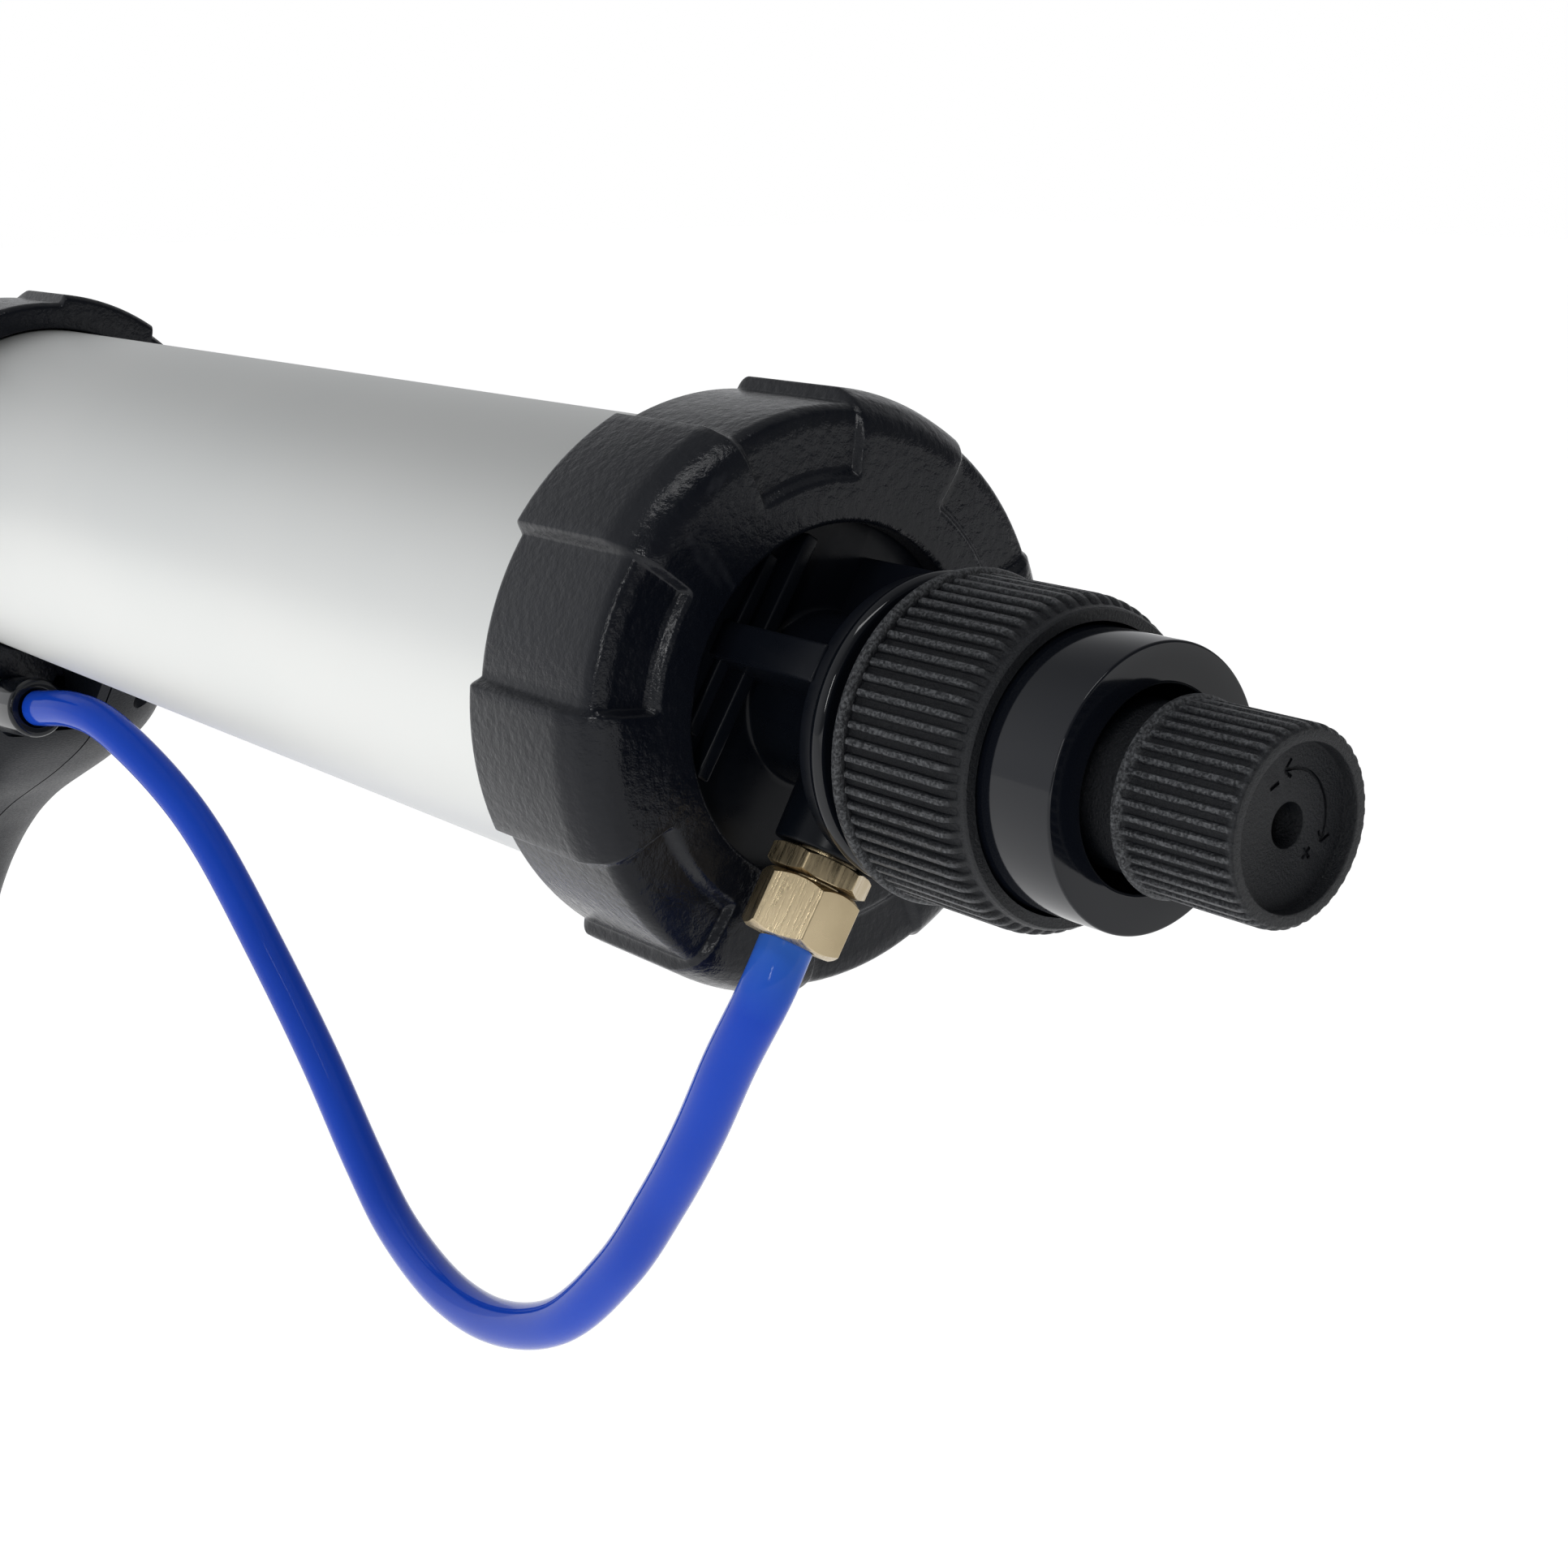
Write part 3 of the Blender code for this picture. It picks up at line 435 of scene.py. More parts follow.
# ---------------------------------------------------------------- air hose
HOSE_ROUTE = (
    FIT_AT + FIT_DIR * 26.3, (30, -16.6, -26.8), (24.5, -17, -36), (17.5, -16.2, -47), (9.5, -15.4, -58),
    (0, -15, -70), (-13.5, -14.4, -82.3), (-30, -12.8, -90), (-47.5, -10.3, -93.2), (-66, -7, -92),
    (-79.5, -4.8, -86.5), (-96, -3, -75), (-112, -2.6, -62.5), (-126.5, -3.8, -49), (-137, -6, -40.5),
    (-150, -9, -33.5), (-160, -10.6, -32.1), PORT + PORT_DIR * 0.3)
hose_points = [pt(*p) for p in smooth_route(HOSE_ROUTE, 180)]
hose_curve = bpy.data.curves.new("air_hose_tube", "CURVE")
hose_curve.dimensions = "3D"
hose_curve.bevel_depth = HOSE_R / 1000.0
hose_curve.bevel_resolution = 10
hose_curve.use_fill_caps = True
hose_line = hose_curve.splines.new("POLY")
hose_line.points.add(len(hose_points) - 1)
for item, p in zip(hose_line.points, hose_points):
    item.co = (*p, 1.0)
hose_line.use_smooth = True
hose = bpy.data.objects.new("air_hose_tube", hose_curve)
scene.collection.objects.link(hose)
hose_curve.materials.append(HOSE)
place(hose, "gun", "blue_hose", "air_hose")

# ---------------------------------------------------------------- air cylinder and cartridge tube
SADDLE_DIR = left_dir(180 + SADDLE_DEG)
SCREW_HOLE = [(23.0, 0.0), (23.0, 4.1), (26.3, 4.1), (28.3, 2.35), (38.0, 2.35), (38.0, 0.0)]


def saddle_holes(stations):
    return [turned("saddle_hole", SCREW_HOLE, None, 32, (s, 0.0, 0.0), SADDLE_DIR, X) for s in stations]


def tube(name, front, rear, stations):
    profile = [(front, TUBE_BORE_R), (front, TUBE_R), (rear, TUBE_R), (rear, TUBE_BORE_R)]
    shell = turned(name, rounded(profile, 0.35), ALU, 256)
    return combine(shell, "DIFFERENCE", saddle_holes(stations))


place(tube("cylinder_tube", -197.0, 12.0, SADDLE_SCREWS[:2]), "gun", "satin_aluminium", "air_cylinder")
place(tube("cartridge_sleeve", -399.0, -211.5, SADDLE_SCREWS[2:]), "gun", "satin_aluminium", "cartridge_tube")

# ---------------------------------------------------------------- castellated ring nuts
FIRST_PAD_DEG = 9.0
PAD_HALF_DEG = 14.0
RAMP_DEG = 1.9


def smooth(f):
    return f * f * (3.0 - 2.0 * f)


def ring_nut(name, start, direction):
    """Ring nut with six gripping pads, whose end face steps back in the recesses between them."""
    bore = [(22.0, 20.0, 0.25), (21.5, 19.5, 0.3), (18.6, 19.5, 0.3), (18.6, 28.8, 0.3), (11.5, 28.8, 0.1),
            (11.5, 27.8, 0.1), (0.0, 27.8, 0.3)]
    pad = [(0.0, 32.8, 0.4), (0.9, 33.5, 0.6), (17.0, 33.5, 0.9), (19.9, 32.5, 1.2), (21.5, 30.9, 0.8),
           (22.0, 29.2, 0.7), (22.0, 24.9, 0.2), (22.0, 24.3, 0.2)] + bore
    recess = [(0.0, 31.4, 0.4), (0.9, 32.1, 0.6), (17.0, 32.1, 0.9), (19.6, 32.0, 1.2), (20.6, 31.4, 0.6),
              (20.9, 29.9, 0.5), (20.9, 25.1, 0.5), (22.0, 24.3, 0.5)] + bore
    pad = rounded(pad, 0.3)
    recess = rounded(recess, 0.3)
    stations = []
    for group in range(6):
        middle = FIRST_PAD_DEG + 60.0 * group
        for k in range(15):
            stations.append((middle - PAD_HALF_DEG + 2.0 * k, 1.0))
        for k in range(1, 9):
            stations.append((middle + PAD_HALF_DEG + RAMP_DEG * k / 8.0, 1.0 - smooth(k / 8.0)))
        low = 60.0 - 2.0 * PAD_HALF_DEG - 2.0 * RAMP_DEG
        for k in range(1, 15):
            stations.append((middle + PAD_HALF_DEG + RAMP_DEG + low * k / 14.0, 0.0))
        for k in range(1, 8):
            stations.append((middle + 60.0 - PAD_HALF_DEG - RAMP_DEG + RAMP_DEG * k / 8.0, smooth(k / 8.0)))
    verts = []
    for deg, weight in stations:
        radial = left_dir(deg)
        for (t0, r0), (t1, r1) in zip(pad, recess):
            t = t0 + (t1 - t0) * weight
            r = r0 + (r1 - r0) * weight
            verts.append(Vector((start + direction * t, 0, 0)) + radial * r)
    rows = len(pad)
    faces = []
    for i in range(len(stations)):
        j = (i + 1) % len(stations)
        for k in range(rows):
            n = (k + 1) % rows
            faces.append((i * rows + k, i * rows + n, j * rows + n, j * rows + k))
    return make(name, verts, faces, RING)


place(ring_nut("rear_ring_moulding", 0.0, 1.0), "gun", "textured_black", "rear_ring_nut")
place(ring_nut("middle_ring_moulding", -185.0, -1.0), "gun", "textured_black", "middle_ring_nut")
place(ring_nut("front_ring_moulding", -387.0, -1.0), "front_ring", "textured_black", "front_ring_nut")

# ---------------------------------------------------------------- rear bulkhead
bulkhead = turned("bulkhead_moulding", rounded([
    (3.0, 2.2), (3.0, 25.7), (6.0, 25.7), (6.0, 24.0), (8.2, 24.0), (8.2, 25.7), (12.3, 25.7), (12.3, 28.5),
    (18.2, 28.5), (18.2, 9.5, 0.9), (34.4, 9.5, 1.0), (34.4, 15.9), (36.2, 15.9), (36.2, 6.0), (22.5, 6.0),
    (22.5, 2.2)], 0.25), MOULD, 144)
pieces = []
for sign in (1, -1):
    pieces.append(slab("rib", Vector((18.9, 0, 0)) + FIT_CROSS * 11.5 * sign, (X, FIT_DIR, FIT_CROSS),
                       (1.4, 14.3, 0.9), None, 0.35))
    pieces.append(slab("step", Vector((18.3, 0, 0)) + FIT_CROSS * 14.4 * sign, (X, FIT_DIR, FIT_CROSS),
                       (0.9, 10.5, 0.8), None, 0.3))
for deg in (58, 238, 328):
    across = left_dir(deg + 90)
    pieces.append(slab("fin", Vector((26.3, 0, 0)) + left_dir(deg) * 12.1, (X, left_dir(deg), across),
                       (8.6, 4.1, 2.1), None, 0.4))
boss = rounded([(7.0, 0.0), (7.0, 6.2), (16.2, 5.9), (16.2, 0.0)], 0.4)
pieces.append(turned("boss", boss, None, 72, FIT_AT, FIT_DIR, X))
combine(bulkhead, "UNION", pieces)
boss_bore = [(4.0, 0.0), (4.0, 1.6), (9.0, 1.6), (9.0, 3.9), (18.0, 3.9), (18.0, 0.0)]
combine(bulkhead, "DIFFERENCE", [turned("boss_bore", boss_bore, None, 48, FIT_AT, FIT_DIR, X)])
place(bulkhead, "gun", "textured_black", "rear_bulkhead")
rim = turned("hub_rim_ring", rounded([(36.5, 14.6), (36.5, 16.3, 0.7), (37.4, 16.7, 0.7), (38.4, 16.2, 0.6),
                                      (38.4, 14.6)], 0.25, 6), GLOSS, 192)
place(rim, "gun", "gloss_black", "hub_rim")

# ---------------------------------------------------------------- pressure regulator
housing = turned("regulator_housing", rounded([
    (33.0, 2.3), (33.0, 5.7), (36.5, 5.7), (36.5, 14.2), (50.0, 14.2), (50.0, 10.2), (40.5, 10.2),
    (40.5, 2.3)], 0.2), GLOSS, 128)
place(housing, "gun", "gloss_black", "regulator_body")


def ridge(ang, count, flat):
    """Height from 0 to 1 of one of count rounded ridges, of which flat is the share of the pitch."""
    phase = abs((ang / (2.0 * math.pi) * count) % 1.0 - 0.5) * 2.0
    edge = (phase - flat) / (1.0 - flat) * 2.4
    return 1.0 - smooth(min(1.0, max(0.0, edge)))


def knurl(count, depth, flat, first, last, run_out):
    """Radius rule for straight ridges between two stations, whose far ends curve down over run_out."""
    def rule(t, ang, r):
        if t < first or t > last + run_out:
            return r
        window = min(1.0, (t - first) / 0.5)
        if t > last:
            window = math.sqrt(max(0.0, 1.0 - ((t - last) / run_out) ** 2))
        return r - depth + depth * ridge(ang, count, flat) * window
    return rule


POINTS_PER_RIDGE = 14
COLLAR_RIDGES = 64
collar_rows = [(41.1, 14.6), (41.1, 16.6), (41.15, 17.2), (41.35, 17.45), (41.7, 17.5), (42.0, 17.35),
               (42.15, 17.1), (42.2, 17.0), (42.35, 17.0), (42.5, 17.0), (42.7, 17.0)]
collar_rows += [(43.0 + 0.98 * k, 17.0) for k in range(13)]
collar_rows += [(55.2, 17.0), (55.6, 17.0), (56.0, 16.99), (56.4, 16.96), (56.8, 16.9), (57.1, 16.84),
                (57.4, 16.75), (57.6, 16.66), (57.9, 16.05), (58.2, 16.0), (58.5, 15.9), (58.7, 15.7),
                (58.7, 14.6)]
collar = turned("collar_moulding", collar_rows, COLLAR, COLLAR_RIDGES * POINTS_PER_RIDGE,
                radius_at=knurl(COLLAR_RIDGES, 0.72, 0.34, 42.2, 55.4, 2.3))
place(collar, "gun", "knurled_black", "regulator_collar")

bonnet = turned("bonnet_moulding", rounded([
    (50.3, 11.5), (50.3, 14.2), (67.9, 14.2, 0.28), (67.9, 10.05, 0.4), (65.0, 10.05),
    (65.0, 11.5)], 0.15, 5), GLOSS, 224)
place(bonnet, "gun", "gloss_black", "regulator_bonnet")

KNOB_RIDGES = 42
DIAL_T = 83.6
knob_rows = [(60.0, 3.4), (60.0, 8.4), (71.2, 8.4), (71.2, 9.65), (71.3, 9.78), (71.5, 9.8), (71.8, 9.75),
             (71.95, 9.6), (72.0, 9.5), (72.1, 9.5), (72.3, 9.5), (72.6, 9.5)]
knob_rows += [(73.0 + 1.08 * k, 9.5) for k in range(10)]
knob_rows += [(83.3, 9.5), (83.8, 9.5), (84.2, 9.47), (84.5, 9.4), (84.75, 9.28), (84.92, 9.12),
              (85.0, 8.95), (85.0, 8.0), (84.95, 7.88), (84.8, 7.8), (83.9, 7.8), (83.68, 7.72),
              (DIAL_T, 7.5), (DIAL_T, 2.3), (83.5, 2.15), (83.3, 2.1), (78.4, 2.1), (78.4, 3.4)]


def knob_rule(t, ang, r):
    """Radius rule for the knob's ridges, which fade in at the front and out over the rounded rear edge."""
    if r < 8.9 or t < 72.0:
        return r
    depth = 0.5 * min(1.0, (t - 72.0) / 0.4)
    if t > 84.0:
        depth *= max(0.0, (9.6 - (t - 84.0) * 0.55 - 9.0) / 0.6)
    return r - depth * (1.0 - ridge(ang, KNOB_RIDGES, 0.32))


knob = turned("knob_moulding", knob_rows, KNOB, KNOB_RIDGES * POINTS_PER_RIDGE, radius_at=knob_rule)


def dial_point(deg, radius, t):
    return Vector((t, 0.0, 0.0)) + left_dir(deg) * radius


def dial_bar(a, b, width):
    """A cutter for an engraved line between two points (degrees, radius) of the knob's end."""
    p = dial_point(*a, DIAL_T)
    q = dial_point(*b, DIAL_T)
    along = (q - p).normalized()
    return slab("bar", (p + q) / 2, (X, along, X.cross(along)), (0.28, (q - p).length / 2, width / 2))


def dial_arc(first, last, radius, width):
    """A cutter for an engraved arc of the knob's end."""
    steps = 40
    verts = []
    for k in range(steps + 1):
        deg = first + (last - first) * k / steps
        for t, edge in ((83.3, -1), (83.3, 1), (84.0, 1), (84.0, -1)):
            verts.append(dial_point(deg, radius + edge * width / 2, t))
    faces = [(0, 1, 2, 3), tuple(4 * steps + k for k in (3, 2, 1, 0))]
    for k in range(steps):
        for a in range(4):
            b = (a + 1) % 4
            faces.append((4 * k + a, 4 * k + 4 + a, 4 * k + 4 + b, 4 * k + b))
    return make("arc", verts, faces)


# An arc with an arrow head at each end, a minus and a plus.
LINE = 0.34
SIGN_LINE = 0.4
engraving = [dial_arc(8.0, -115.0, 5.2, LINE)]
engraving += [dial_bar((9.5, 5.2), end, LINE) for end in ((0.0, 6.15), (-1.0, 4.45))]
engraving += [dial_bar((-116.5, 5.2), end, LINE) for end in ((-107.0, 6.15), (-106.0, 4.45))]
engraving.append(dial_bar((20.0, 4.5), (36.0, 4.6), SIGN_LINE))
engraving.append(dial_bar((-129.0, 4.1), (-148.0, 4.1), SIGN_LINE))
engraving.append(dial_bar((-138.5, 3.4), (-138.5, 4.8), SIGN_LINE))
combine(knob, "DIFFERENCE", engraving)
place(knob, "knob", "knurled_black", "regulator_knob")


# ---------------------------------------------------------------- brass hose connection
def hexagon(name, across, t0, t1, top, mat, centre, axis, ref, bore, tails=()):
    """A hexagon with turned-off corners and a bore; tails are turned shapes joined to it."""
    corner = across / 2.0 / math.cos(math.radians(30))
    axis = Vector(axis).normalized()
    ref = (Vector(ref) - axis * Vector(ref).dot(axis)).normalized()
    side = axis.cross(ref)
    verts = []
    for t in (t0, t1):
        for k in range(6):
            ang = math.radians(60 * k)
            verts.append(Vector(centre) + axis * t + (ref * math.cos(ang) + side * math.sin(ang)) * corner)
    faces = [(5, 4, 3, 2, 1, 0), (6, 7, 8, 9, 10, 11)]
    faces += [(k, (k + 1) % 6, (k + 1) % 6 + 6, k + 6) for k in range(6)]
    body = make(name, verts, faces, mat)
    bevel_edges(body, 0.16)
    cone = [(t0 - 0.2, 0.0), (t0 - 0.2, across / 2 - 0.55), (t0 + top, corner + 0.12),
            (t1 - top, corner + 0.12), (t1 + 0.2, across / 2 - 0.55), (t1 + 0.2, 0.0)]
    combine(body, "INTERSECT", [turned("cone", cone, None, 96, centre, axis, ref)])
    combine(body, "UNION", [turned("tail", t, None, 72, centre, axis, ref) for t in tails])
    hole = [(0.0, 0.0), (0.0, bore), (t1 + 40.0, bore), (t1 + 40.0, 0.0)]
    combine(body, "DIFFERENCE", [turned("bore", hole, None, 72, centre, axis, ref)])
    return body


adaptor_thread = [(9.3, 0.0), (9.3, 3.5), (17.0, 3.5), (17.0, 0.0)]
adaptor_tail = [(18.5, 0.0), (18.5, 2.7), (25.0, 2.3), (25.0, 0.0)]
adaptor = hexagon("adaptor_fitting", HEX_AF, 16.5, 19.0, 0.45, BRASS, FIT_AT, FIT_DIR, X, 1.5,
                  (adaptor_thread, adaptor_tail))
place(adaptor, "gun", "brass", "hose_adaptor")
nut = hexagon("hose_nut_fitting", HEX_AF, 19.3, HOSE_NUT_END, 0.75, BRASS, FIT_AT, FIT_DIR,
              X + FIT_CROSS * math.tan(math.radians(30)), 3.1)
place(nut, "gun", "brass", "hose_nut")

# ---------------------------------------------------------------- handle
# Height, rear edge, front edge, half width, rear rounding and front rounding of level cuts.
LEVELS = ((-18.0, -164.0, -324.0, 15.0, 12.0, 6.0),
          (-29.0, -167.0, -324.0, 15.6, 12.0, 6.0),
          (-40.0, -177.0, -325.0, 16.0, 12.0, 6.0),
          (-43.0, -180.5, -325.0, 16.0, 12.0, 6.0),
          (-48.5, -190.6, -324.8, 15.8, 12.0, 6.0),
          (-54.6, -202.0, -323.5, 15.5, 12.5, 6.5),
          (-59.5, -213.5, -321.5, 15.5, 13.0, 7.5),
          (-67.0, -227.5, -315.0, 15.5, 14.0, 9.0),
          (-74.0, -237.5, -312.0, 15.5, 14.5, 9.5),
          (-81.0, -245.5, -310.0, 15.5, 15.0, 10.0),
          (-88.0, -252.5, -309.3, 15.6, 15.5, 10.5),
          (-97.0, -260.0, -309.0, 15.8, 16.0, 11.0),
          (-110.0, -265.5, -308.8, 16.0, 16.0, 11.0),
          (-140.0, -271.0, -309.5, 15.4, 16.0, 11.0),
          (-155.0, -273.5, -310.5, 14.9, 15.5, 11.0),
          (-162.5, -275.5, -308.5, 12.6, 14.0, 9.0),
          (-164.0, -278.5, -304.5, 9.5, 12.0, 8.0))


def between(levels, height):
    """Level values at a height, joined in straight lines."""
    for a, b in zip(levels, levels[1:]):
        if b[0] <= height <= a[0]:
            f = (a[0] - height) / (a[0] - b[0])
            return [p + (q - p) * f for p, q in zip(a, b)]
    return list(levels[-1])


def level_heights(step):
    out = []
    for a, b in zip(LEVELS, LEVELS[1:]):
        count = max(1, round((a[0] - b[0]) / step))
        out += [a[0] + (b[0] - a[0]) * k / count for k in range(count)]
    return out + [LEVELS[-1][0]]


def softened(height):
    """Level values averaged over a few millimetres, so that the outline has no corners between levels."""
    if height > -30.0 or height < -161.0:
        return between(LEVELS, height)
    reach = min(4.5, -30.0 - height + 0.5, height + 161.5)
    samples = [between(LEVELS, height + reach * k / 4.0) for k in range(-4, 5)]
    return [sum(v) / len(samples) for v in zip(*samples)]


def level_outline(rear, front, half, rear_cap, front_cap, steps, sides):
    out = []
    for k in range(steps + 1):
        a = math.pi / 2 - math.pi * k / steps
        out.append((rear - rear_cap + rear_cap * math.cos(a), half * math.sin(a)))
    for k in range(1, sides):
        f = k / sides
        out.append(((rear - rear_cap) * (1 - f) + (front + front_cap) * f, -half))
    for k in range(steps + 1):
        a = -math.pi / 2 - math.pi * k / steps
        out.append((front + front_cap + front_cap * math.cos(a), half * math.sin(a)))
    for k in range(1, sides):
        f = k / sides
        out.append(((front + front_cap) * (1 - f) + (rear - rear_cap) * f, half))
    return out


def stacked(name, levels, mat=None, steps=18, sides=2, relief=None):
    verts = []
    for level in levels:
        for s, y in level_outline(*level[1:], steps, sides):
            if relief:
                y += relief(s, y, level)
            verts.append((s, y, level[0]))
    count = len(verts) // len(levels)
    faces = [tuple(range(count)), tuple(range(len(verts) - 1, len(verts) - count - 1, -1))]
    for i in range(len(levels) - 1):
        for k in range(count):
            n = (k + 1) % count
            faces.append((i * count + k, i * count + n, (i + 1) * count + n, (i + 1) * count + k))
    return make(name, verts, faces, mat)


RIB_PITCH = 3.2


def grip_relief(s, y, level):
    """A ribbed panel sunk into each side of the grip."""
    height, rear, front, half = level[:4]
    middle = (rear + front) / 2.0
    across = abs(s - middle) / max(1.0, (rear - front) / 2.0 - 8.5)
    along = abs(height + 112.0) / 32.0
    if abs(y) <= half * 0.9:
        return 0.0
    inside = 1.0 - smooth(min(1.0, max(0.0, (across - 0.86) * 8.0)))
    inside *= 1.0 - smooth(min(1.0, max(0.0, (along - 0.94) * 16.0)))
    rib = 0.5 - 0.5 * math.cos(2.0 * math.pi * (height + 0.25 * (s - middle)) / RIB_PITCH)
    return -math.copysign(1.0, y) * inside * (0.25 + 0.45 * rib)


def cavity_levels():
    """The handle's hollow: the level cuts drawn in by the wall."""
    out = []
    for h, rear, front, half, rear_cap, front_cap in LEVELS[2:-2]:
        edge = min(rear - WALL, -199.0) if h > -52.0 else rear - WALL
        level = -38.3 if h == LEVELS[2][0] else h
        out.append((level, edge, front + WALL, half - WALL, rear_cap - 2.0, max(front_cap - 2.0, 3.0)))
    return out


# Profiles of (distance along the axis, radius) that the handle is cut with, and of its screw posts.
POST = [(-14.0, 0.0), (-14.0, 4.3), (14.0, 4.3), (14.0, 0.0)]
SCREW_WAY = [(-20.0, 0.0), (-20.0, 3.9), (-14.9, 3.5), (-11.7, 3.5), (-11.7, 1.9), (10.0, 1.9), (10.0, 0.0)]
TUBE_SEAT = [(-345, 0.0), (-345, 27.8), (-212.2, 27.8), (-212.2, 34.5), (-184.2, 34.5), (-184.2, 27.8),
             (-140, 27.8), (-140, 0.0)]
PIN_HOLE = [(-30.0, 0.0), (-30.0, 2.3), (30.0, 2.3), (30.0, 0.0)]
INLET_HOLE = [(-30.0, 0.0), (-30.0, 7.3), (8.3, 7.3), (8.3, 0.0)]
PORT_BORE = [(-48.0, 0.0), (-48.0, 4.0), (-11.0, 4.0), (-11.0, 5.4), (4.0, 5.4), (4.0, 0.0)]


def handle_half(name, side):
    """One half of the handle, side -1 for the left and 1 for the right."""
    shell = stacked(name, [[h] + softened(h)[1:] for h in level_heights(0.8)], HANDLE, 18, 44, grip_relief)
    combine(shell, "DIFFERENCE", [stacked("cavity", cavity_levels(), None, 12)])
    combine(shell, "UNION", [turned("post", POST, None, 32, (s, 0.0, h), Y, UP) for s, h in HANDLE_SCREWS])
    middle = 0.15 * side - 20.0 * side
    cutters = [slab("half", (-240.0, middle, -90.0), (X, Y, UP), (116.0, 20.0, 90.0))]
    for s, h in HANDLE_SCREWS:
        cutters.append(turned("screw", SCREW_WAY, None, 40, (s, 0.0, h), Y, UP))
    cutters.append(turned("seat", TUBE_SEAT, None, 192))
    cutters.append(slab("slot", (-319.75, 0.0, -77.0), (X, Y, UP), (17.25, 5.4, 36.0), None, 0.8))
    cutters.append(turned("pin_hole", PIN_HOLE, None, 40, PIVOT, Y, UP))
    cutters.append(turned("inlet_hole", INLET_HOLE, None, 48, (INLET_S, 0.0, -158.5), UP, X))
    if side < 0:
        cutters.append(slab("pocket", (-163.1, -16.0, -27.3), (X, Y, UP), (23.1, 14.0, 12.3), None, 1.2))
        cutters.append(turned("port_bore", PORT_BORE, None, 48, PORT, PORT_DIR, UP))
    combine(shell, "DIFFERENCE", cutters + saddle_holes(SADDLE_SCREWS))
    return shell


place(handle_half("handle_left_shell", -1), "gun", "handle_black", "handle_left")
place(handle_half("handle_right_shell", 1), "gun", "handle_black", "handle_right")

SCREW = rounded([(-14.6, 0.0), (-14.6, 2.2, 0.5), (-13.6, 3.1, 0.5), (-12.0, 3.1), (-12.0, 1.6), (9.4, 1.6),
                 (9.4, 0.0)], 0.12)
CROSS_ARMS = (((1, 0, 0.35), (-0.35, 0, 1)), ((-0.35, 0, 1), (1, 0, 0.35)))
for number, (s, h) in enumerate(HANDLE_SCREWS, 1):
    screw = turned("handle_screw_head_%d" % number, SCREW, STEEL, 64, (s, 0.0, h), Y, UP)
    cross = [slab("cross", (s, -14.4, h), (Y, a, b), (0.9, 1.7, 0.36), None, 0.12) for a, b in CROSS_ARMS]
    combine(screw, "DIFFERENCE", cross)
    place(screw, "gun", "steel", "handle_screw_%d" % number)

socket_side = rounded([(0.0, 3.3), (0.0, 4.7, 0.5), (-0.6, 5.0), (-10.6, 5.0), (-10.6, 3.6), (-25.0, 3.6),
                       (-25.0, 1.6), (-0.9, 1.6), (-0.9, 3.3)], 0.2)
socket = turned("hose_port_socket", socket_side, GLOSS, 96, PORT, PORT_DIR, UP)
place(socket, "gun", "gloss_black", "hose_port")

# ---------------------------------------------------------------- trigger
# Side outline (s, h) of the trigger: the hooked top around the pin, then the pull with its finger curve.
TRIGGER_SIDE = (
    (-321.5, -44.5), (-316.0, -42.3), (-311.0, -44.0), (-308.8, -49.0), (-309.2, -60.0), (-308.6, -69.0),
    (-308.6, -75.0), (-312.0, -82.0), (-313.6, -95.0), (-312.4, -107.0), (-318.0, -112.0), (-323.6, -110.0),
    (-320.8, -99.0), (-320.2, -86.0), (-322.0, -71.0), (-324.6, -58.0), (-324.8, -50.0))


def prism(name, outline, y0, y1, mat):
    """A side outline of (s, h) points carried across from y0 to y1."""
    count = len(outline)
    verts = [(s, y0, h) for s, h in outline] + [(s, y1, h) for s, h in outline]
    faces = [tuple(range(count)), tuple(range(2 * count - 1, count - 1, -1))]
    for k in range(count):
        n = (k + 1) % count
        faces.append((k, n, count + n, count + k))
    return make(name, verts, faces, mat)


trigger_points = [Vector((s, h, 0.0)) for s, h in TRIGGER_SIDE]
side_line = smooth_route(trigger_points + trigger_points[:1], 120)[:-1]
trigger = prism("trigger_moulding", [(p.x, p.y) for p in side_line], -4.9, 4.9, HANDLE)
bevel_edges(trigger, 1.1, 50.0, 4)
trigger_bore = [(-20.0, 0.0), (-20.0, 2.08), (20.0, 2.08), (20.0, 0.0)]
combine(trigger, "DIFFERENCE", [turned("bore", trigger_bore, None, 40, PIVOT, Y, UP)])
place(trigger, "trigger_lever", "handle_black", "trigger")
pin_side = rounded([(-15.6, 0.0), (-15.6, 2.0, 0.5), (15.6, 2.0, 0.5), (15.6, 0.0)], 0.4)
pin = turned("trigger_pin_rod", pin_side, STEEL, 48, PIVOT, Y, UP)
place(pin, "gun", "steel", "trigger_pin")

# ---------------------------------------------------------------- air inlet
bush_side = rounded([(-163.7, 4.6), (-163.7, 7.0), (-150.6, 7.0), (-150.6, 2.2), (-151.6, 2.2),
                     (-151.6, 4.6)], 0.15)
bush = turned("inlet_bush", bush_side, BRASS, 96, (INLET_S, 0.0, 0.0), UP, X)
place(bush, "gun", "brass", "inlet_bushing")
plug_thread = [(152.2, 0.0), (152.2, 4.3), (165.0, 4.3), (165.0, 0.0)]
plug_tail = rounded([(168.5, 0.0), (168.5, 5.6, 0.1), (176.0, 5.6), (177.4, 4.4), (182.0, 4.4), (183.4, 5.0),
                     (189.5, 4.2, 0.1), (189.5, 0.0)], 0.5)
plug = hexagon("plug_fitting", 14.0, 164.5, 169.0, 0.7, STEEL, (INLET_S, 0.0, 0.0), -UP, X, 2.2,
               (plug_thread, plug_tail))
place(plug, "gun", "steel", "air_plug")

